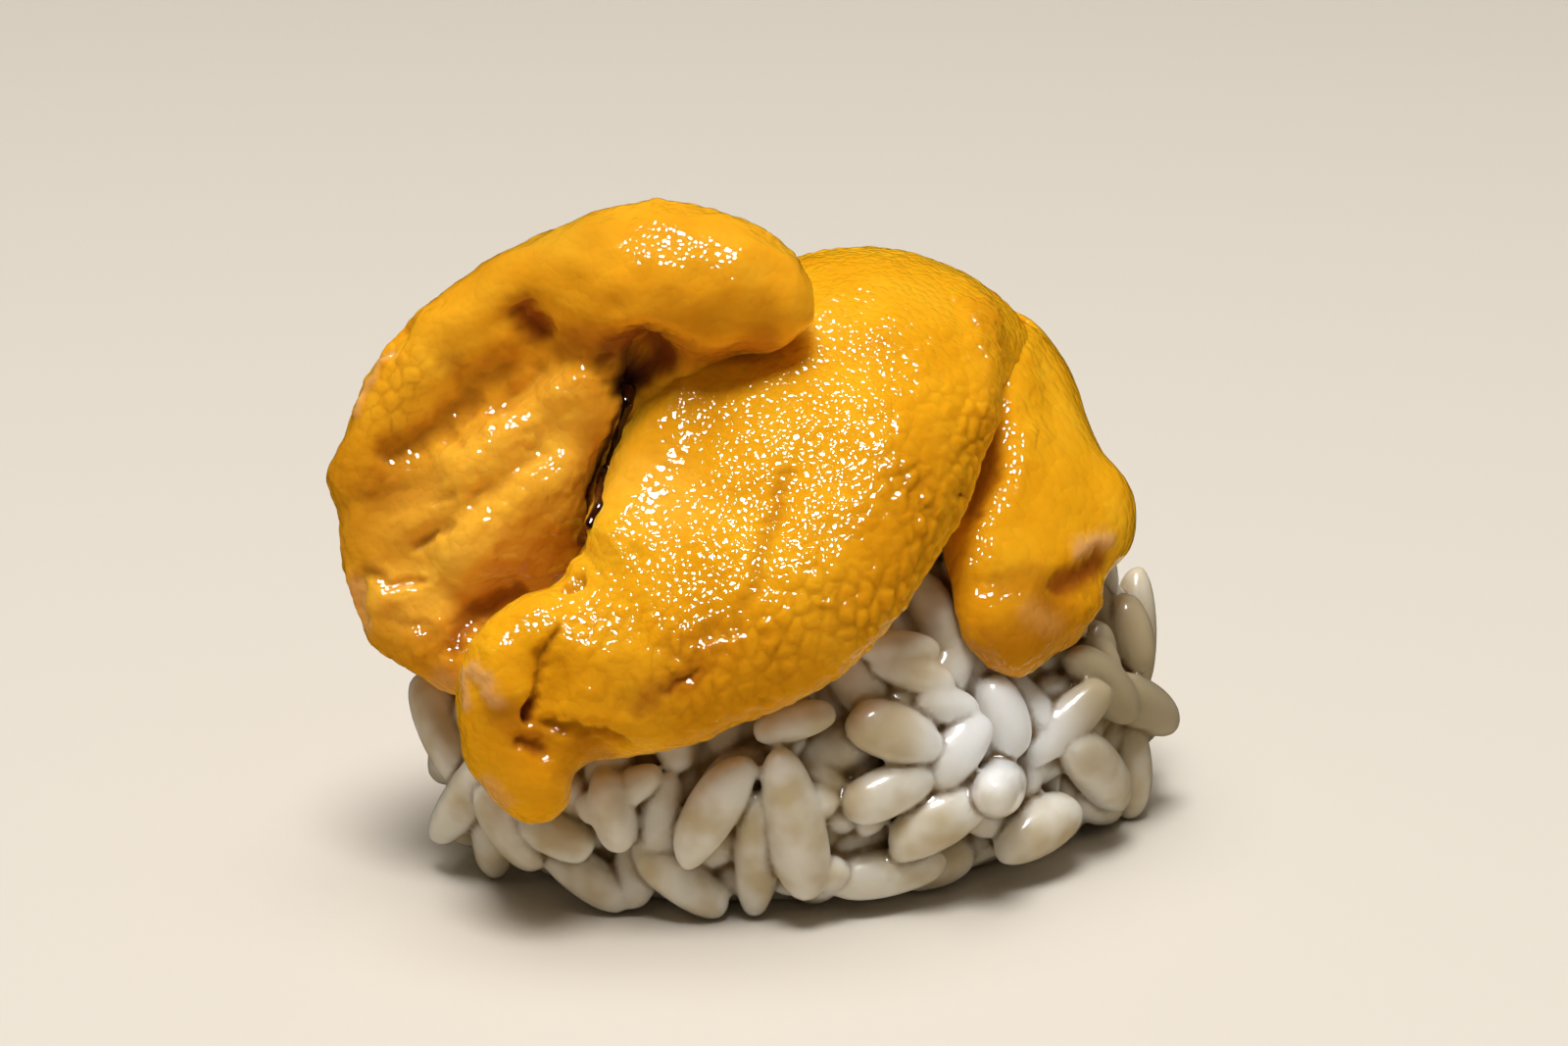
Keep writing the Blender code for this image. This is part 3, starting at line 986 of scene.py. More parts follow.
SERVED_GRAINS = tuple(
    SeenGrain(*row)
    for row in (
        ((-16.3, -1.0, 0.8), (-12.6, 4.4, 0.8), 2.4),
        ((-13.8, 2.0, 1.2), (-10.9, -2.5, 1.0), 2.8),
        ((-12.0, 0.5, 0.8), (-8.3, -1.6, 0.8), 2.4),
        ((-7.7, 2.7, 1.2), (-7.0, -1.8, 1.2), 2.3),
        ((-8.8, 0.5, 0.2), (-4.8, 3.0, 0.2), 2.0),
        ((-10.6, -1.4, 0.2), (-6.4, -4.6, 0.6), 2.4),
        ((-4.5, 2.9, -0.4), (-5.4, -3.2, -0.4), 2.4),
        ((-0.7, 3.4, 1.2), (-3.9, -2.3, 1.4), 2.7),
        ((-5.9, -2.4, 0.4), (-1.6, -5.4, 0.8), 2.4),
        ((0.1, 1.0, 0.4), (-0.3, -5.7, 0.8), 2.3),
        ((1.0, 3.9, 1.4), (2.6, -4.1, 1.6), 3.0),
        ((-0.3, 4.8, 0.4), (3.8, 6.0, 0.4), 1.9),
        ((2.0, 3.2, -0.6), (4.5, 0.1, -0.6), 2.6),
        ((4.6, 5.6, 0.4), (8.5, 4.1, 0.4), 2.9),
        ((4.1, 0.7, 0.6), (8.6, 2.9, 0.6), 2.6),
        ((7.2, -1.3, 1.4), (10.7, 1.2, 1.4), 3.1),
        ((3.4, -3.2, 0.8), (9.3, -2.1, 0.8), 2.5),
        ((7.0, -4.4, 0.0), (10.4, -2.7, 0.0), 2.2),
        ((5.8, 8.8, 1.0), (9.9, 7.2, 1.4), 2.0),
        ((5.9, 9.6, 2.6), (9.9, 9.4, 3.0), 1.9),
        ((7.4, 6.8, 0.2), (10.6, 5.8, 0.2), 2.0),
        ((8.7, 2.2, 1.0), (11.0, 5.3, 1.0), 2.6),
        ((11.8, 2.3, -2.2), (11.4, 1.6, 3.4), 3.0),
        ((12.5, 8.0, 2.0), (14.2, 2.6, 2.4), 2.7),
        ((15.1, 4.6, 0.8), (17.7, 1.2, 1.0), 2.8),
        ((12.2, -1.9, 1.6), (15.9, 0.7, 1.4), 3.0),
        ((15.4, 0.3, 0.0), (17.7, -1.0, 0.2), 2.2),
        ((17.5, 12.0, 0.6), (18.8, 8.0, 0.8), 2.4),
        ((15.0, 9.1, 0.2), (18.0, 5.8, 0.4), 2.6),
        ((17.4, 7.4, 0.8), (20.6, 5.3, 0.6), 2.6),
    )
)
# The bend in degrees, the taper and the groove of each kind of grain.
GRAIN_KINDS = (
    (14.0, 0.12, 0.04),
    (28.0, 0.2, 0.0),
    (-8.0, 0.05, 0.07),
    (20.0, -0.15, 0.02),
    (4.0, 0.25, 0.05),
    (36.0, 0.1, 0.03),
)
# Where a grain has no room: how much shorter it is made, and how far it sinks in mm or in widths.
SERVED_TRIES = ((1.0, 0.0), (0.95, 0.3), (0.88, 0.6), (0.8, 0.9), (0.72, 1.3))
SCATTER_TRIES = ((1.0, 0.0), (0.9, 0.25), (0.8, 0.5), (0.65, 0.6))


@dataclass
class RiceBall:
    """The moulded ball of rice: a dense core with loose-lying grains all round it."""

    centre_mm: Place = (1.9, 0.2, 6.4)
    half_mm: Place = (16.7, 11.3, 12.6)
    turn_deg: float = 22.0
    dip_deg: float = 4.0
    core_in_mm: float = 0.5
    core_cut_mm: float = 0.05
    lowest_grain_mm: float = 0.04
    lowest_skin_mm: float = 0.02
    bed_mm: float = 0.65
    hold: float = 0.4
    grain_long_mm: float = 6.3
    grain_wide_mm: float = 2.8
    blunt: float = 0.16
    groove_wide: float = 0.16
    served_stubby: float = 1.7
    served_plump: float = 0.94
    served_spacing_mm: float = 3.3
    outer_spacing_mm: float = 2.75
    inner_spacing_mm: float = 2.2
    outer_off: float = 0.36
    inner_off: float = -0.26
    # What the scattered grains are drawn from: how high they lie on a ball of radius 1, how
    # large and how plump they are, and the mean and the spread of how steeply they lie.
    heights: tuple[float, float] = (-0.52, 0.93)
    sizes: tuple[float, float] = (0.84, 1.05)
    plumpness: tuple[float, float] = (0.84, 1.0)
    steep_deg: tuple[float, float] = (70, 45)
    tilt: float = 0.3
    deepest_mm: float = 1.6
    gap_mm: float = 0.06
    tries: int = 9000
    fuse_mm: float = 0.16
    most_triangles: int = 190_000
    seam_mm: float = 0.15
    seam_rounds: int = 12
    # Painted light: where the most brightly lit grains appear, and how far it reaches.
    painted_light_at: Sight = (11.6, 4.6)
    painted_light_mm: float = 3.9
    # Painted shade: where the far corner appears, and how far it reaches.
    painted_shade_at: Sight = (17.4, 7.7)
    painted_shade_mm: float = 4.5
    seed: int = 23
    finish: CookedRice = field(default_factory=CookedRice)
    probes: list[Vector] = field(default_factory=list, init=False)

    def mould(self, grown_mm: float = 0.0) -> Matrix:
        """Turns a unit sphere into the ball, or into the ball grown all round."""
        return (
            Matrix.Translation(Vector(self.centre_mm) * MM - MIDDLE)
            @ Matrix.Rotation(math.radians(self.turn_deg), 4, "Z")
            @ Matrix.Rotation(math.radians(self.dip_deg), 4, "Y")
            @ Matrix.Diagonal((*((half + grown_mm) * MM for half in self.half_mm), 1))
        )

    def outward(self, point: Vector) -> Vector:
        """The direction straight away from the ball's skin near a point."""
        mould = self.mould()
        return (mould.to_3x3().inverted().transposed() @ (mould.inverted() @ point)).normalized()

    def in_sight(self, place: Place) -> Vector:
        """The point of the ball, grown by the stand-off, that the diner sees at a place.

        Args:
            place: How far across and up it appears and how far it stands off, in mm.

        Returns:
            The point, or the nearest one to a line of sight that passes beside the ball.
        """
        grown = self.mould(place[2] + self.bed_mm)
        away = grown.inverted()
        eye = away @ EYE
        way = away @ on_plane(place[:2]) - eye
        nearest = -eye.dot(way) / way.length_squared
        beside = (eye + way * nearest).length_squared
        if beside < 1:
            nearest -= math.sqrt((1 - beside) / way.length_squared)
        return grown @ (eye + way * nearest)

    def model_core(self) -> Thing:
        """The dense middle of the ball, flat where it rests.

        Returns:
            The core.
        """
        core = add_ball(64, 32, 1)
        core.name = "rice_core"
        core.data.transform(self.mould(-self.core_in_mm))
        bpy.ops.object.mode_set(mode="EDIT")
        bpy.ops.mesh.select_all(action="SELECT")
        floor = (0, 0, self.core_cut_mm * MM)
        bpy.ops.mesh.bisect(plane_co=floor, plane_no=(0, 0, 1), use_fill=True, clear_inner=True)
        bpy.ops.object.mode_set(mode="OBJECT")
        return core

    def model_grain(self, bend_deg: float, taper: float, groove: float) -> Thing:
        """One cooked grain, lying along Z: plump, a little bent, blunt at its ends.

        Args:
            bend_deg: How far it bends from end to end.
            taper: How much thinner one end is.
            groove: How far its belly is drawn in, as a share of its width.

        Returns:
            The grain, 1 m long and wide, to be scaled where it is laid.
        """
        grain = add_ball(12, 8, 0.5)
        for vertex in grain.data.vertices:
            level = min(1.0, abs(vertex.co.z) * 2)
            girth = math.hypot(vertex.co.x, vertex.co.y) * 2
            plump = 0.0 if girth < 1e-6 else (1 - level**2) ** -self.blunt
            vertex.co.x *= plump
            vertex.co.y *= plump
        grain.data.update()
        bend = {"deform_method": "BEND", "deform_axis": "X", "angle": math.radians(bend_deg)}
        apply_modifier(grain, "Bend", "SIMPLE_DEFORM", bend)
        narrow = {"deform_method": "TAPER", "deform_axis": "Z", "factor": taper}
        apply_modifier(grain, "Narrow", "SIMPLE_DEFORM", narrow)
        for vertex in grain.data.vertices:
            if vertex.co.x > 0:
                vertex.co.x -= math.exp(-((vertex.co.y / self.groove_wide) ** 2)) * groove
        return grain

    def laid_grain(self, middle: Vector, out: Vector, lie: Vector, size: Place) -> Matrix:
        """Where a grain lies.

        Args:
            middle: Its middle.
            out: The way that its back faces.
            lie: The way that it points.
            size: Its length, width and thickness in metres.

        Returns:
            The matrix that turns a modelled grain into it.
        """
        side = out.cross(lie).normalized()
        back = lie.cross(side).normalized()
        turn = Matrix((back, side, lie)).transposed().to_4x4()
        return Matrix.Translation(middle) @ turn @ Matrix.Diagonal((size[2], size[1], size[0], 1))

    def clear(self, place: Matrix, trees: list[BVHTree]) -> bool:
        """Whether a grain keeps clear of every tongue.

        Args:
            place: Where the grain lies.
            trees: The tongues' search trees.

        Returns:
            True where it touches none.
        """
        for tree in trees:
            for corner in self.probes:
                point = place @ corner
                if tree.find_nearest(point, self.gap_mm * MM)[0] is not None:
                    return False
                if inside(tree, point):
                    return False
        return True

    def lowest(self, place: Matrix) -> float:
        """How high a grain's lowest corner lies."""
        return min((place @ corner).z for corner in self.probes)

    def raised(self, place: Matrix) -> Matrix:
        """Lifts a grain until it lies on the floor."""
        lift = max(0.0, self.lowest_grain_mm * MM - self.lowest(place))
        return Matrix.Translation((0, 0, lift)) @ place

    def lay_served(self, core: BVHTree, trees: list[BVHTree]) -> list[tuple[Vector, Matrix]]:
        """Lays the grains that the diner sees.

        Args:
            core: The core's search tree.
            trees: The tongues' search trees.

        Returns:
            The middle and the place of each grain.
        """
        laid = []
        for seen in SERVED_GRAINS:
            start, end = self.in_sight(seen.start), self.in_sight(seen.end)
            out = self.outward((start + end) / 2)
            held = (self.hold * seen.width_mm + self.core_in_mm) * MM
            loose = core.find_nearest((start + end) / 2)[3] - held
            press_in = out * max(0.0, loose)
            lie = (end - start).normalized()
            full = max((end - start).length, self.served_stubby * seen.width_mm * MM)
            width = seen.width_mm * MM
            for shorter, sink_mm in SERVED_TRIES:
                middle = (start + end) / 2 - press_in - out * (sink_mm * MM)
                size = (full * shorter, width, width * self.served_plump)
                place = self.raised(self.laid_grain(middle, out, lie, size))
                if self.clear(place, trees):
                    laid.append((middle, place))
                    break
            else:
                LOG.warning("a served grain at %s has no room", seen.start[:2])
        return laid

    def scatter(
        self,
        trees: list[BVHTree],
        served: list[Vector],
        spacing_mm: float,
        stand_off: float,
        seed: int,
    ) -> list[tuple[Vector, Matrix]]:
        """Lays grains evenly over the ball.

        Args:
            trees: The tongues' search trees.
            served: The middles of the grains that are laid one by one.
            spacing_mm: How far apart the middles are.
            stand_off: How far the grains stand off the ball's skin, in widths.
            seed: The seed of the scatter.

        Returns:
            The middle and the place of each grain.
        """
        rng = random.Random(seed)
        mould = self.mould()
        laid: list[tuple[Vector, Matrix]] = []
        for _ in range(self.tries):
            height = rng.uniform(*self.heights)
            angle = rng.uniform(0, 2 * math.pi)
            level = math.sqrt(1 - height * height)
            spot = mould @ Vector((level * math.cos(angle), level * math.sin(angle), height))
            size = rng.uniform(*self.sizes)
            plump = rng.uniform(*self.plumpness)
            steep = math.radians(rng.gauss(*self.steep_deg))
            tilt = rng.gauss(0, self.tilt)
            if any((spot - other).length < self.served_spacing_mm * MM for other in served):
                continue
            if any((spot - other).length < spacing_mm * MM for other, _ in laid):
                continue
            out = self.outward(spot)
            level_way = Vector((0, 0, 1)).cross(out).normalized()
            lie = level_way * math.cos(steep) + out.cross(level_way) * math.sin(steep)
            for shorter, sink in SCATTER_TRIES:
                way = (lie + out * (tilt * shorter)).normalized()
                width = self.grain_wide_mm * size * (0.5 + 0.5 * shorter) * MM
                length = self.grain_long_mm * size * shorter * MM
                middle = spot + out * ((stand_off - sink) * width)
                place = self.laid_grain(middle, out, way, (length, width, width * plump))
                above = self.lowest(place) > -self.deepest_mm * MM
                if above and self.clear(self.raised(place), trees):
                    laid.append((spot, self.raised(place)))
                    break
        return laid

    def lay_out(self, kinds: list[Thing], places: list[Matrix]) -> Thing:
        """Copies modelled grains to their places and gathers them in one piece.

        Args:
            kinds: The modelled grains.
            places: Where each copy lies.

        Returns:
            The piece.
        """
        rng = random.Random(self.seed)
        copies = []
        for place in places:
            kind = rng.choice(kinds)
            copy = kind.copy()
            copy.data = kind.data.copy()
            flip = Matrix.Rotation(rng.choice((0.0, math.pi)), 4, "X")
            roll = Matrix.Rotation(rng.uniform(-0.6, 0.6), 4, "Z")
            copy.data.transform(place @ roll @ flip)
            bpy.context.collection.objects.link(copy)
            copies.append(copy)
        piece = copies[0]
        join(piece, copies[1:])
        piece.name = "rice_ball"
        piece.data.name = piece.name
        return piece

    def press_together(self, ball: Thing, core: Thing) -> None:
        """Makes one sticky body of the grains and the core, flat where it rests.

        Args:
            ball: The loose grains, in one piece.
            core: The core, which goes into the ball.
        """
        join(ball, [core])
        remesh(ball, self.fuse_mm)
        smooth(ball, 2)
        triangles = 2 * len(ball.data.polygons)
        LOG.info("the rice starts with %d triangles", triangles)
        if triangles > self.most_triangles:
            apply_modifier(ball, "Thin", "DECIMATE", {"ratio": self.most_triangles / triangles})

    def paint(self, ball: Thing) -> None:
        """Paints shade between the grains, painted light on the most brightly lit grains and painted shade
        on the far corner.

        Args:
            ball: The whole ball.
        """
        set_mark(ball.data, Mark.RELIEF, self.seams(ball))
        seen = as_seen(points_array(ball.data), normals_array(ball.data))
        for mark, place, reach_mm in (
            (Mark.BRIGHT, self.painted_light_at, self.painted_light_mm),
            (Mark.SHADE, self.painted_shade_at, self.painted_shade_mm),
        ):
            away = np.linalg.norm(seen.across_up - np.array(place), axis=1)
            set_mark(ball.data, mark, np.exp(-((away / reach_mm) ** 4)) * seen.facing)

    def seams(self, ball: Thing) -> np.ndarray:
        """Tells the crowns of the grains from the seams between them.

        Args:
            ball: The whole ball.

        Returns:
            From 0 in the hollow between grains to 1 on a grain, for each vertex.
        """
        points = points_array(ball.data)
        pairs = np.empty(len(ball.data.edges) * 2, dtype=int)
        ball.data.edges.foreach_get("vertices", pairs)
        one, two = pairs.reshape(-1, 2).T
        count = np.bincount(one, minlength=len(points)) + np.bincount(two, minlength=len(points))
        soft = points.copy()
        for _ in range(self.seam_rounds):
            total = np.empty_like(soft)
            for axis in range(3):
                total[:, axis] = np.bincount(one, soft[two, axis], len(points))
                total[:, axis] += np.bincount(two, soft[one, axis], len(points))
            soft = total / np.maximum(count, 1)[:, None]
        hollow = np.einsum("ij,ij->i", soft - points, normals_array(ball.data)) / MM
        return 1 - np.clip(hollow / self.seam_mm, 0, 1)

    def build(self, tongues: list[Thing]) -> None:
        """Builds and dresses the core and the grains.

        Args:
            tongues: The finished tongues, which the grains keep clear of.
        """
        core = self.model_core()
        kinds = [self.model_grain(*kind) for kind in GRAIN_KINDS]
        self.probes = [Vector(vertex.co) for vertex in kinds[0].data.vertices][::2]
        trees = [tree_of(tongue) for tongue in tongues]
        served = self.lay_served(tree_of(core), trees)
        middles = [middle for middle, _ in served]
        outer = self.scatter(trees, middles, self.outer_spacing_mm, self.outer_off, self.seed)
        inner = self.scatter(trees, [], self.inner_spacing_mm, self.inner_off, self.seed + 1)
        LOG.info("%d served, %d outer and %d inner grains", len(served), len(outer), len(inner))
        for kind in kinds:
            apply_modifier(kind, "Round", "SUBSURF", {"levels": 1, "render_levels": 1})
        ball = self.lay_out(kinds, [place for _, place in served + outer + inner])
        for kind in kinds:
            bpy.data.objects.remove(kind)
        self.press_together(ball, core)
        self.paint(ball)
        points = points_array(ball.data)
        points[:, 2] = np.maximum(points[:, 2], self.lowest_skin_mm * MM)
        set_points(ball.data, points)
        dress(ball, self.finish.make(), "cooked rice", "rice")


@dataclass
class CreaseSauce:
    """Soy sauce that has run into the crease between the left and the centre tongue."""

    run: tuple[Sight, ...]
    radii_mm: tuple[float, ...]
    sunk_mm: float = 0.1
    voxel_mm: float = 0.09
    ripple_mm: float = 0.5
    ripple_height_mm: float = 0.05
    seed: float = 3.0
    finish: SoyFilm = field(default_factory=SoyFilm)

    def lay_line(self, tongues: list[Thing]) -> Thing:
        """Lays a round line along the crease.

        Args:
            tongues: The tongues that it lies on.

        Returns:
            The line, as a mesh.
        """
        trees = [tree_of(tongue) for tongue in tongues]
        line = bpy.data.curves.new("soy_sauce", "CURVE")
        line.dimensions = "3D"
        line.bevel_depth = MM
        line.bevel_resolution = 4
        line.use_fill_caps = True
        spline = line.splines.new("POLY")
        spline.points.add(len(self.run) - 1)
        for point, sight, radius in zip(spline.points, self.run, self.radii_mm):
            hits = [hit for hit in (seen_point(tree, sight) for tree in trees) if hit is not None]
            nearest = min(hits, key=lambda hit: (hit - EYE).length)
            middle = nearest + (nearest - EYE).normalized() * self.sunk_mm * MM
            point.co = (*middle, 1)
            point.radius = radius
        sauce = bpy.data.objects.new("soy_sauce", line)
        bpy.context.collection.objects.link(sauce)
        select_only(sauce)
        bpy.ops.object.convert(target="MESH")
        return bpy.context.object

    def build(self, tongues: list[Thing]) -> None:
        """Builds and dresses the sauce.

        Args:
            tongues: The tongues that it lies on.
        """
        sauce = self.lay_line(tongues)
        remesh(sauce, self.voxel_mm)
        smooth(sauce, 8, 0.6)
        points = points_array(sauce.data)
        ripple = soft_noise(points, self.ripple_mm, self.seed) * self.ripple_height_mm * MM
        set_points(sauce.data, points + normals_array(sauce.data) * ripple[:, None])
        dress(sauce, self.finish.make(), "sea urchin flesh")


@dataclass(frozen=True)
class Lamp:
    """A round light: which way it hangs, how large and strong it is, and what it lights.

    A lamp that glints gives the wet film its small highlights, and a soft one lights the
    flesh and the rice without a reflection of its own.
    """

    name: str
    way: Place
    size_m: float
    watts: float
    glints: bool = False


LAMPS = (
    Lamp("key", (-0.03, -0.32, 0.9), 0.26, 3.3),
    Lamp("overhead", (-0.04, 0.05, 1.0), 0.6, 2.7),
    Lamp("glint", (-0.05, -0.33, 0.93), 0.25, 8.6, glints=True),
)


@dataclass
class Studio:
    """The pale floor, the soft lights and the camera at the diner's eye."""

    floor_m: float = 3.0
    lamps_far_m: float = 0.7
    sky: str = "F4E6D0"
    sky_strength: float = 0.14
    aim_mm: Place = (0.0, 0.0, 15.6)
    lens_mm: float = 112.0

    def add_floor(self) -> None:
        """Lays the floor that the sushi stands on."""
        bpy.ops.object.select_all(action="DESELECT")
        bpy.ops.mesh.primitive_plane_add(size=self.floor_m, location=(0, 0, 0))
        floor = bpy.context.object
        floor.name = "floor"
        floor.data.materials.append(PaleBoard().make())
        floor.visible_glossy = False

    def add_light(self, lamp: Lamp) -> None:
        """Hangs a light that faces the sushi.

        Args:
            lamp: The light.
        """
        place = Vector(lamp.way).normalized() * self.lamps_far_m
        bpy.ops.object.light_add(type="AREA", location=place)
        light = bpy.context.object
        light.name = lamp.name
        light.data.shape = "DISK"
        light.data.size = lamp.size_m
        light.data.energy = lamp.watts
        light.visible_glossy = lamp.glints
        light.visible_diffuse = not lamp.glints
        light.rotation_euler = (Vector(self.aim_mm) * MM - place).to_track_quat("-Z", "Y").to_euler()

    def add_sky(self) -> None:
        """Fills the shadows with an even pale light."""
        world = bpy.data.worlds.new("pale room")
        world.use_nodes = True
        background = world.node_tree.nodes["Background"]
        background.inputs["Color"].default_value = linear(self.sky)
        background.inputs["Strength"].default_value = self.sky_strength
        world.cycles_visibility.glossy = False
        bpy.context.scene.world = world

    def add_camera(self) -> None:
        """Puts the camera where the diner's eye is, closer in."""
        bpy.ops.object.camera_add(location=EYE)
        camera = bpy.context.object
        camera.name = "diner"
        aim = Vector(self.aim_mm) * MM
        camera.rotation_euler = (aim - EYE).to_track_quat("-Z", "Y").to_euler()
        camera.data.lens = self.lens_mm
        camera.data.sensor_width = 36
        camera.data.clip_start = 0.005
        camera.data.dof.use_dof = False
        bpy.context.scene.camera = camera

    def build(self) -> None:
        """Sets up the whole studio."""
        self.add_camera()
        self.add_floor()
        self.add_sky()
        for lamp in LAMPS:
            self.add_light(lamp)
        bpy.context.scene.view_settings.view_transform = "Standard"


LEFT_STROKES = (
    stroke(
        "floor gives way to the centre tongue", 1.25, 1.0,
        (-4.7, 23.6), (-5.3, 21.5), (-6.0, 19.5), (-6.8, 17.1),
    ),
    stroke("outer lobe", 1.5, -0.55, (-18.9, 23.2), (-19.5, 20.9), (-19.6, 18.0)),
    stroke("notch above the lobe", 0.45, 0.4, (-16.8, 25.1), (-17.4, 24.2)),
    # Painted shade in the outer groove.
    stroke(
        "outer groove behind the floor", 0.75, 0.5,
        (-17.4, 19.1), (-16.0, 19.9), (-14.8, 20.7), (-13.6, 21.8),
        stain=0.5,
    ),
    stroke("second lip of the groove", 0.9, -0.3, (-16.6, 17.8), (-14.6, 19.0), (-13.0, 20.3)),
    stroke(
        "brown slope above the groove", 0.8, 0.15, (-14.5, 23.6), (-13.6, 22.7), (-12.3, 23.6), stain=0.45
    ),
    stroke("small ridge", 0.5, -0.3, (-12.1, 24.6), (-11.6, 22.9), stain=0.3),
    # Painted shade in the pit.
    stroke("pit", 0.75, 0.65, (-11.1, 26.0), (-10.5, 25.2), stain=1.0),
    # Painted shade under the rim.
    stroke(
        "brown under the rim", 0.95, 0.1,
        (-9.0, 24.5), (-6.0, 24.6), (-3.8, 23.8), (-1.6, 23.8), (0.2, 24.5),
        stain=0.6,
    ),
    # The hollow under the rim is painted dark: painted shade, and soy that has run into it.
    stroke("right of the hollow", 0.6, 0.0, (-5.3, 22.7), (-4.2, 23.2), stain=1.0, soy=0.3),
    stroke("dark hollow under the rim", 0.9, 0.3, (-7.1, 24.1), (-5.3, 24.2), stain=0.95, soy=0.3),
    stroke("darkest place of the hollow", 0.8, 0.3, (-6.3, 23.2), (-6.0, 22.5), soy=0.8),
    stroke("flat place beside the hollow", 0.75, 0.7, (-5.4, 24.1), (-4.7, 23.4), stain=0.95, soy=0.3),
    stroke("soy hole", 0.75, 0.5, (-6.4, 22.6), (-5.8, 22.5), soy=1.0),
    # Painted light on the floor of the left tongue.
    stroke("bright floor", 3.0, 0.0, (-16.1, 15.0), (-12.7, 18.0), (-9.4, 20.3), bright=0.75),
    stroke("bright low floor", 2.6, 0.0, (-16.7, 12.1), (-12.2, 14.1), bright=1.0),
    # Painted shade on the rim, the outer lobe and the foot.
    stroke("lean rim", 1.2, 0.0, (-3.8, 25.4), (0.0, 25.9), shade=0.35),
    stroke("lean outer lobe", 2.0, 0.0, (-18.7, 23.2), (-19.0, 18.5), (-18.4, 15.0), shade=0.35),
    stroke("lean rim at the left", 2.0, 0.0, (-12.0, 27.9), (-8.7, 29.7), shade=0.3),
    stroke("lean foot", 1.5, 0.0, (-17.9, 9.7), (-15.1, 9.1), shade=0.4),
    stroke(
        "soy along the crease", 0.32, 0.25,
        (-6.5, 21.3), (-6.8, 19.9), (-7.2, 18.3), (-7.6, 16.7), (-8.1, 15.0),
        soy=0.9,
    ),
    stroke("orange cheek by the crease", 0.8, 0.0, (-7.7, 20.3), (-8.2, 18.5), (-8.6, 16.2), stain=0.3),
    # Painted shade in the hollow at the left and in the wrinkles.
    stroke("brown hollow at the left", 1.3, 0.3, (-17.7, 17.1), (-15.9, 17.5), stain=0.35),
    stroke("wrinkle", 0.22, 0.2, (-16.4, 14.6), (-15.5, 14.9), (-14.6, 15.5), stain=0.4),
    stroke("small wrinkle", 0.28, 0.2, (-15.2, 16.7), (-14.5, 16.9), stain=0.35),
    stroke("low wrinkles", 0.32, 0.3, (-18.9, 13.2), (-17.6, 12.5), (-16.3, 12.5), stain=0.3),
    stroke("lowest wrinkle", 0.5, 0.25, (-17.8, 10.9), (-16.3, 10.3), (-15.4, 9.1), stain=0.2),
    stroke("notch at the edge", 0.4, 0.5, (-19.3, 12.7), (-19.1, 10.8)),
    # Painted shade in the low hollow.
    stroke("low hollow", 0.55, 0.4, (-14.8, 9.4), (-14.1, 10.6), (-13.0, 11.4), (-11.6, 12.2), stain=0.7),
    stroke("red cheek", 1.5, 0.0, (-11.8, 13.2), (-10.2, 14.3), (-9.4, 15.5), stain=0.22),
    # Painted light beside the crease.
    stroke("bright by the crease", 1.8, 0.0, (-12.2, 15.0), (-10.5, 16.8), (-9.1, 18.5), bright=0.6),
    stroke("ridge of the floor", 1.0, -0.5, (-16.6, 15.7), (-13.8, 18.3), (-11.0, 20.6), (-8.4, 22.5)),
    stroke("second ridge", 0.9, -0.4, (-15.3, 13.2), (-12.4, 15.7), (-9.5, 18.3)),
    # Painted shade in the furrows between the ridges.
    stroke("furrow between the ridges", 0.4, 0.3, (-16.0, 14.8), (-13.1, 17.1), (-10.4, 19.2), stain=0.15),
    stroke("furrow behind the ridge", 0.45, 0.3, (-14.1, 19.5), (-11.7, 21.8), (-10.3, 22.9), stain=0.18),
    stroke("third ridge", 0.8, -0.3, (-17.8, 11.7), (-15.1, 12.5), (-12.9, 13.9)),
    # Painted highlight: a pale line along the wet edge of the rim fold.
    stroke("wet line", 0.22, -0.15, (-17.4, 24.3), (-18.2, 22.9), (-19.1, 21.1), pale=0.55),
    stroke("pale flap at the edge", 0.5, -0.1, (-19.5, 12.5), (-19.5, 11.3), (-19.0, 10.4), pale=0.55),
    stroke("pink underside", 0.8, 0.0, (-17.0, 8.1), (-15.2, 7.5), pale=0.45),
    stroke("bright swelling by the crease", 0.8, -0.4, (-9.2, 22.0), (-8.1, 22.9)),
    stroke("rough patch", 0.9, 0.0, (-9.2, 21.5), (-8.1, 22.7), wet=1.0),
    stroke("rough patch low", 0.8, 0.0, (-10.2, 19.0), (-9.3, 17.8), wet=0.8),
    stroke("rough patch of the rim", 1.3, 0.0, (-5.7, 29.6), (-2.7, 28.4), (0.0, 27.5), wet=0.9),
    stroke("rough patch of the shoulder", 1.0, 0.0, (-15.9, 26.2), (-14.5, 25.6), wet=0.7),
    stroke(
        "calm rim", 2.6, 0.0, (-14.4, 26.6), (-10.9, 28.4), (-6.0, 28.6), (-1.1, 27.3), (1.6, 26.3), calm=0.9
    ),
)

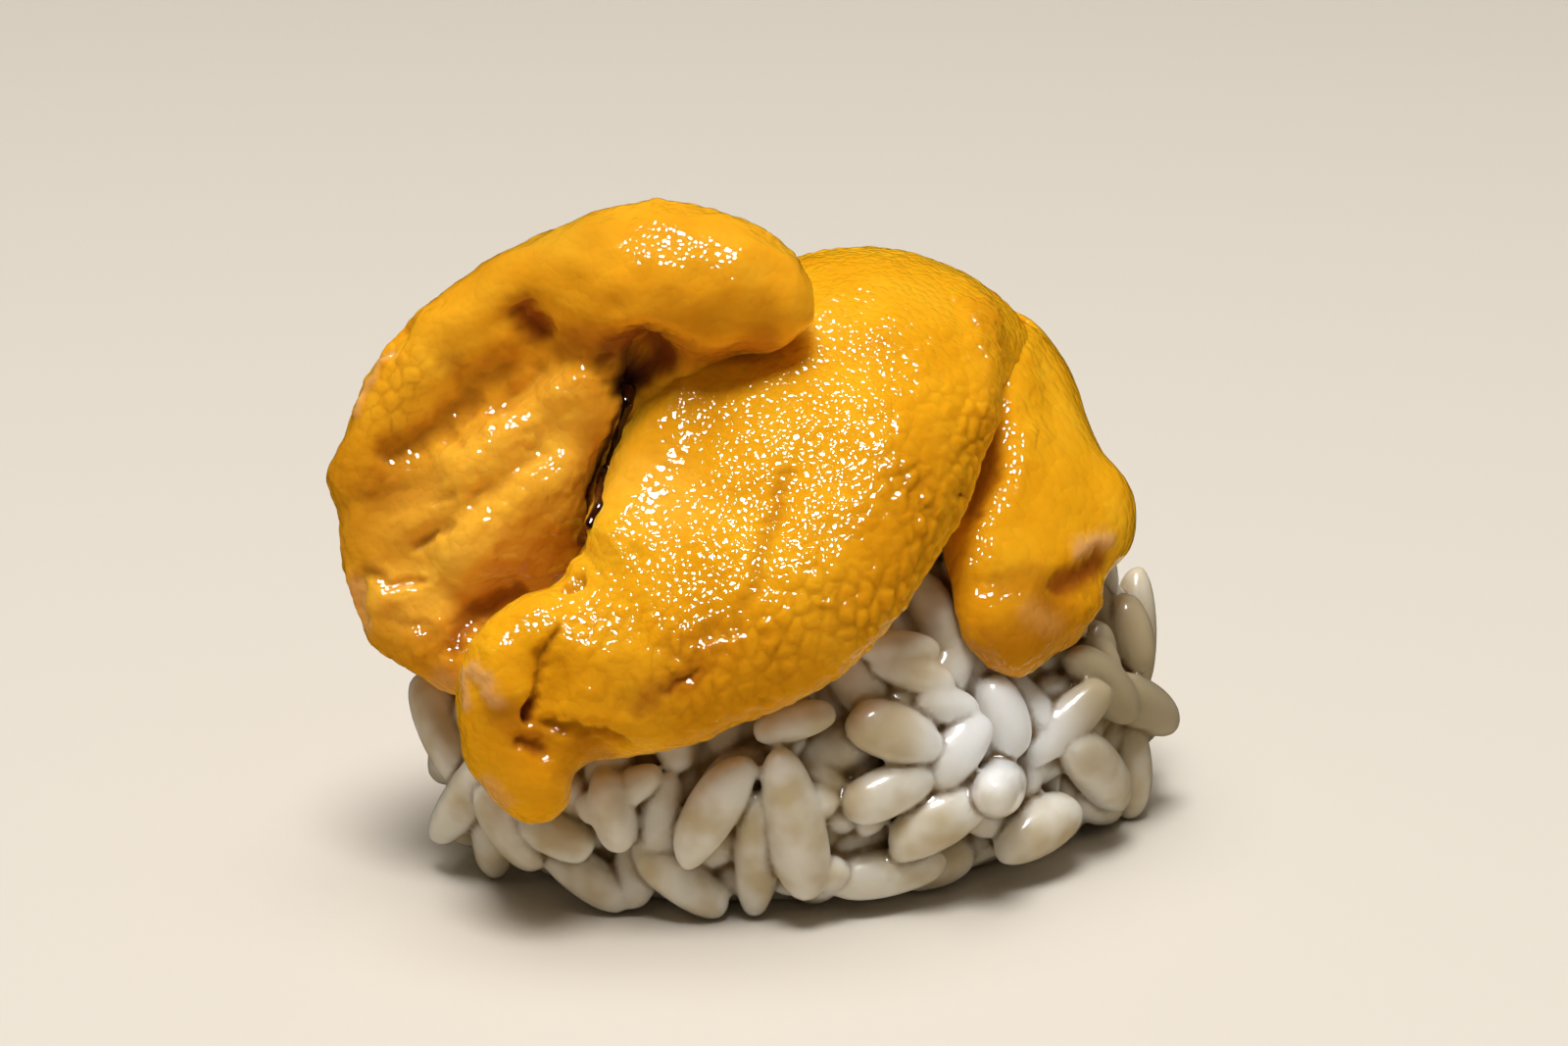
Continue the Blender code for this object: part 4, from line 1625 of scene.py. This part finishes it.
CENTRE_STROKES = (
    stroke(
        "shoulder toward the left tongue", 1.7, -1.15,
        (-3.3, 23.2), (-4.2, 21.5), (-5.1, 19.5), (-6.0, 17.4), (-6.9, 15.3),
    ),
    # Raised, with light painted shade where it meets the right tongue.
    stroke(
        "edge toward the right tongue", 1.0, -0.45,
        (10.6, 26.0), (10.8, 23.7), (10.8, 20.9), (10.6, 18.5),
        stain=0.2,
    ),
    stroke("left lobe of the hook", 1.0, -0.45, (-12.7, 8.9), (-12.1, 7.2)),
    stroke("right lobe of the hook", 1.3, -0.4, (-8.7, 9.1), (-8.5, 7.0)),
    stroke("tip of the hook", 1.0, -0.35, (-12.0, 2.0), (-10.6, 2.0)),
    # Painted shade in the fold of the hook, at its end and in the dimple.
    stroke(
        "fold of the hook", 0.24, 0.5,
        (-9.7, 10.2), (-10.4, 9.1), (-10.5, 8.0), (-11.0, 6.8), (-11.1, 5.8),
        stain=0.4,
    ),
    stroke("end of the fold", 0.34, 0.5, (-11.1, 6.3), (-11.0, 5.6), stain=1.0),
    stroke("dimple of the hook", 0.42, 0.5, (-11.6, 4.4), (-10.6, 4.0), stain=0.8),
    stroke("brown of the hook", 0.9, 0.1, (-12.3, 5.8), (-10.7, 4.8), stain=0.4),
    stroke("membrane", 0.4, -0.15, (-13.8, 8.2), (-13.0, 7.7), (-12.7, 6.6), pale=0.8),
    stroke("membrane edge", 0.3, -0.1, (-14.2, 8.0), (-14.1, 6.3), pale=0.8),
    stroke("hook edge", 0.5, 0.0, (-14.2, 3.2), (-13.1, 2.3), (-12.4, 1.5), pale=0.5),
    # Painted shade in the crease over the hook tip.
    stroke("lip over the hook tip", 0.34, 0.5, (-10.1, 5.3), (-8.5, 5.0), (-6.7, 4.5), stain=0.35),
    stroke("lip", 0.6, -0.25, (-9.4, 5.9), (-7.6, 5.6), (-5.8, 5.1)),
    # Painted shade under the lip.
    stroke("green-brown under the lip", 0.8, 0.1, (-8.5, 4.2), (-7.8, 3.8), stain=0.5),
    # Painted shade in the long shallow crease.
    stroke(
        "long shallow crease", 0.42, 0.2,
        (1.3, 18.0), (0.3, 14.5), (-0.4, 12.2), (-1.2, 10.3), (-2.6, 9.9),
        stain=0.32,
    ),
    stroke("brown stain", 0.65, 0.12, (-5.8, 6.2), (-4.8, 7.0), (-3.8, 7.6), (-3.1, 8.1), stain=0.5),
    # Painted shade in the crease inside the brown patch.
    stroke("crease in the stain", 0.22, 0.2, (-4.6, 6.8), (-4.0, 7.5), (-3.0, 8.1), stain=0.8),
    # Painted shade on the side, the hook and above the brown patch, and painted light on the shoulder.
    stroke("lean side", 2.4, 0.0, (8.8, 18.5), (6.1, 12.5), (1.7, 8.5), (-3.4, 6.2), (-6.7, 6.8), shade=0.4),
    stroke("lean hook", 1.4, 0.0, (-12.6, 5.3), (-11.5, 2.9), (-9.9, 3.2), shade=0.45),
    stroke("fat shoulder", 2.2, 0.0, (-5.7, 20.3), (-4.4, 16.8), bright=0.5),
    stroke("shade above the stain", 1.2, 0.1, (-3.6, 8.9), (-2.2, 9.9), stain=0.3),
    # Painted shade in the crease round the little lobe.
    stroke(
        "little lobe between the tongues", 0.25, 0.4, (-10.0, 12.8), (-9.2, 12.3), (-8.6, 12.6), stain=0.5
    ),
    stroke("the lobe itself", 0.5, -0.3, (-8.9, 13.9), (-8.7, 13.2)),
    stroke("soy foot", 0.4, 0.4, (-9.1, 14.6), (-8.2, 14.2), soy=0.8),
    # Painted shade in the foot of the right crease, its thread and its spot.
    stroke("foot of the right crease", 0.55, 0.3, (10.1, 15.6), (9.4, 13.9), (8.4, 12.0), stain=0.55),
    stroke("dark thread", 0.22, 0.25, (9.7, 16.9), (10.2, 15.9), (9.9, 14.9), stain=0.9),
    stroke("dark spot", 0.4, 0.3, (9.1, 13.8), (9.4, 14.1), stain=0.8),
    stroke("coarse side", 2.7, 0.0, (9.3, 19.9), (8.0, 16.2), (5.6, 12.5), (1.3, 9.1), coarse=1.0),
    stroke("coarse foot", 2.6, 0.0, (-6.7, 9.1), (-3.4, 6.8), (0.0, 7.4), coarse=0.7),
    stroke("calm shoulder", 1.9, 0.0, (-5.3, 20.3), (-4.6, 18.8), (-6.0, 16.8), calm=0.95),
    # Painted shade under the end of the rim.
    stroke("dark under the rim end", 0.6, 0.0, (-3.3, 23.4), (-0.5, 24.0), stain=0.5),
    stroke("calm hook", 2.4, 0.0, (-12.3, 10.1), (-11.2, 8.0), (-11.8, 3.2), calm=0.7),
)

RIGHT_STROKES = (
    stroke("cheek toward the centre tongue", 1.3, -0.7, (11.8, 24.3), (11.8, 22.6), (11.6, 20.3)),
    stroke("brown membrane", 0.75, 0.35, (14.7, 12.5), (15.6, 13.0), (16.3, 13.6), stain=0.9),
    stroke("pink membrane", 0.55, -0.2, (15.3, 14.3), (16.6, 14.8), pale=0.8),
    stroke("wrinkled brown", 0.9, 0.2, (11.8, 12.5), (13.4, 12.9), (14.3, 11.7), stain=0.4),
    stroke("low bulge", 0.7, -0.35, (15.4, 11.0), (16.1, 11.5)),
    # Painted shade on the foot.
    stroke("lean foot", 2.4, 0.0, (9.5, 9.7), (11.7, 9.1), (14.0, 10.1), shade=0.6),
    stroke("wrinkled pink", 0.7, 0.0, (13.2, 11.0), (14.1, 10.3), pale=0.3),
    # Painted shade on the underside and in the inner crease.
    stroke("underside", 1.2, 0.0, (11.2, 9.1), (12.8, 9.6), stain=0.25),
    stroke("inner crease", 0.6, 0.1, (10.9, 19.9), (10.8, 18.0), (10.3, 16.0), stain=0.65),
    stroke("calm side", 2.6, 0.0, (14.6, 20.3), (15.7, 17.4), calm=0.75),
    stroke("sparkling strip", 0.9, -0.35, (10.3, 13.4), (11.5, 16.4), (12.8, 19.5), wet=1.0),
)

RIGHT_FILLS = ((12.1, 24.1), (11.9, 22.9), (11.6, 21.7), (11.2, 20.4))
SAUCE_RUN = (
    (-6.2, 22.3),
    (-6.3, 21.5),
    (-6.6, 20.5),
    (-6.8, 19.5),
    (-7.2, 18.3),
    (-7.5, 17.3),
    (-7.6, 16.4),
    (-8.0, 15.5),
    (-8.4, 14.7),
)
SAUCE_RADII = (0.5, 0.36, 0.26, 0.24, 0.32, 0.26, 0.3, 0.36, 0.36)


def tongues() -> list[Tongue]:
    """The three tongues, with what the diner sees on each.

    Returns:
        The centre, the left and the right tongue.
    """
    centre = Tongue(
        "urchin_centre", UrchinFlesh("pebbled sea urchin roe"), strokes=CENTRE_STROKES, seed=3
    )
    left = Tongue(
        "urchin_left",
        UrchinFlesh(
            "smooth sea urchin roe",
            bright="F7B428",
            middle="F0A61E",
            deep="E29416",
            bead_mm=0.38,
            plain_bead=0.45,
        ),
        voxel_mm=0.18,
        ripple_mm=1.3,
        ripple_height_mm=0.16,
        grain_mm=0.8,
        grain_stretch=1.0,
        grain_height_mm=0.12,
        plain_grain=0.7,
        strokes=LEFT_STROKES,
        seed=5,
    )
    right = Tongue(
        "urchin_right",
        UrchinFlesh("coarse sea urchin roe", bead_mm=0.48, bead_height_mm=0.16, plain_bead=0.7),
        across=(1.0, 0.0, 0.0),
        grain_height_mm=0.08,
        strokes=RIGHT_STROKES,
        fills=RIGHT_FILLS,
        seed=8,
    )
    return [centre, left, right]


def main() -> None:
    """Builds the sushi and its studio, and reports each piece."""
    logging.basicConfig(level=logging.INFO, format="%(name)s: %(message)s")
    noise.seed_set(NOISE_SEED)
    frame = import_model()
    Studio().build()
    pieces = [tongue.build(frame["nodes"]) for tongue in tongues()]
    CreaseSauce(SAUCE_RUN, SAUCE_RADII).build(pieces)
    RiceBall().build(pieces)


if __name__ == "__main__":
    main()
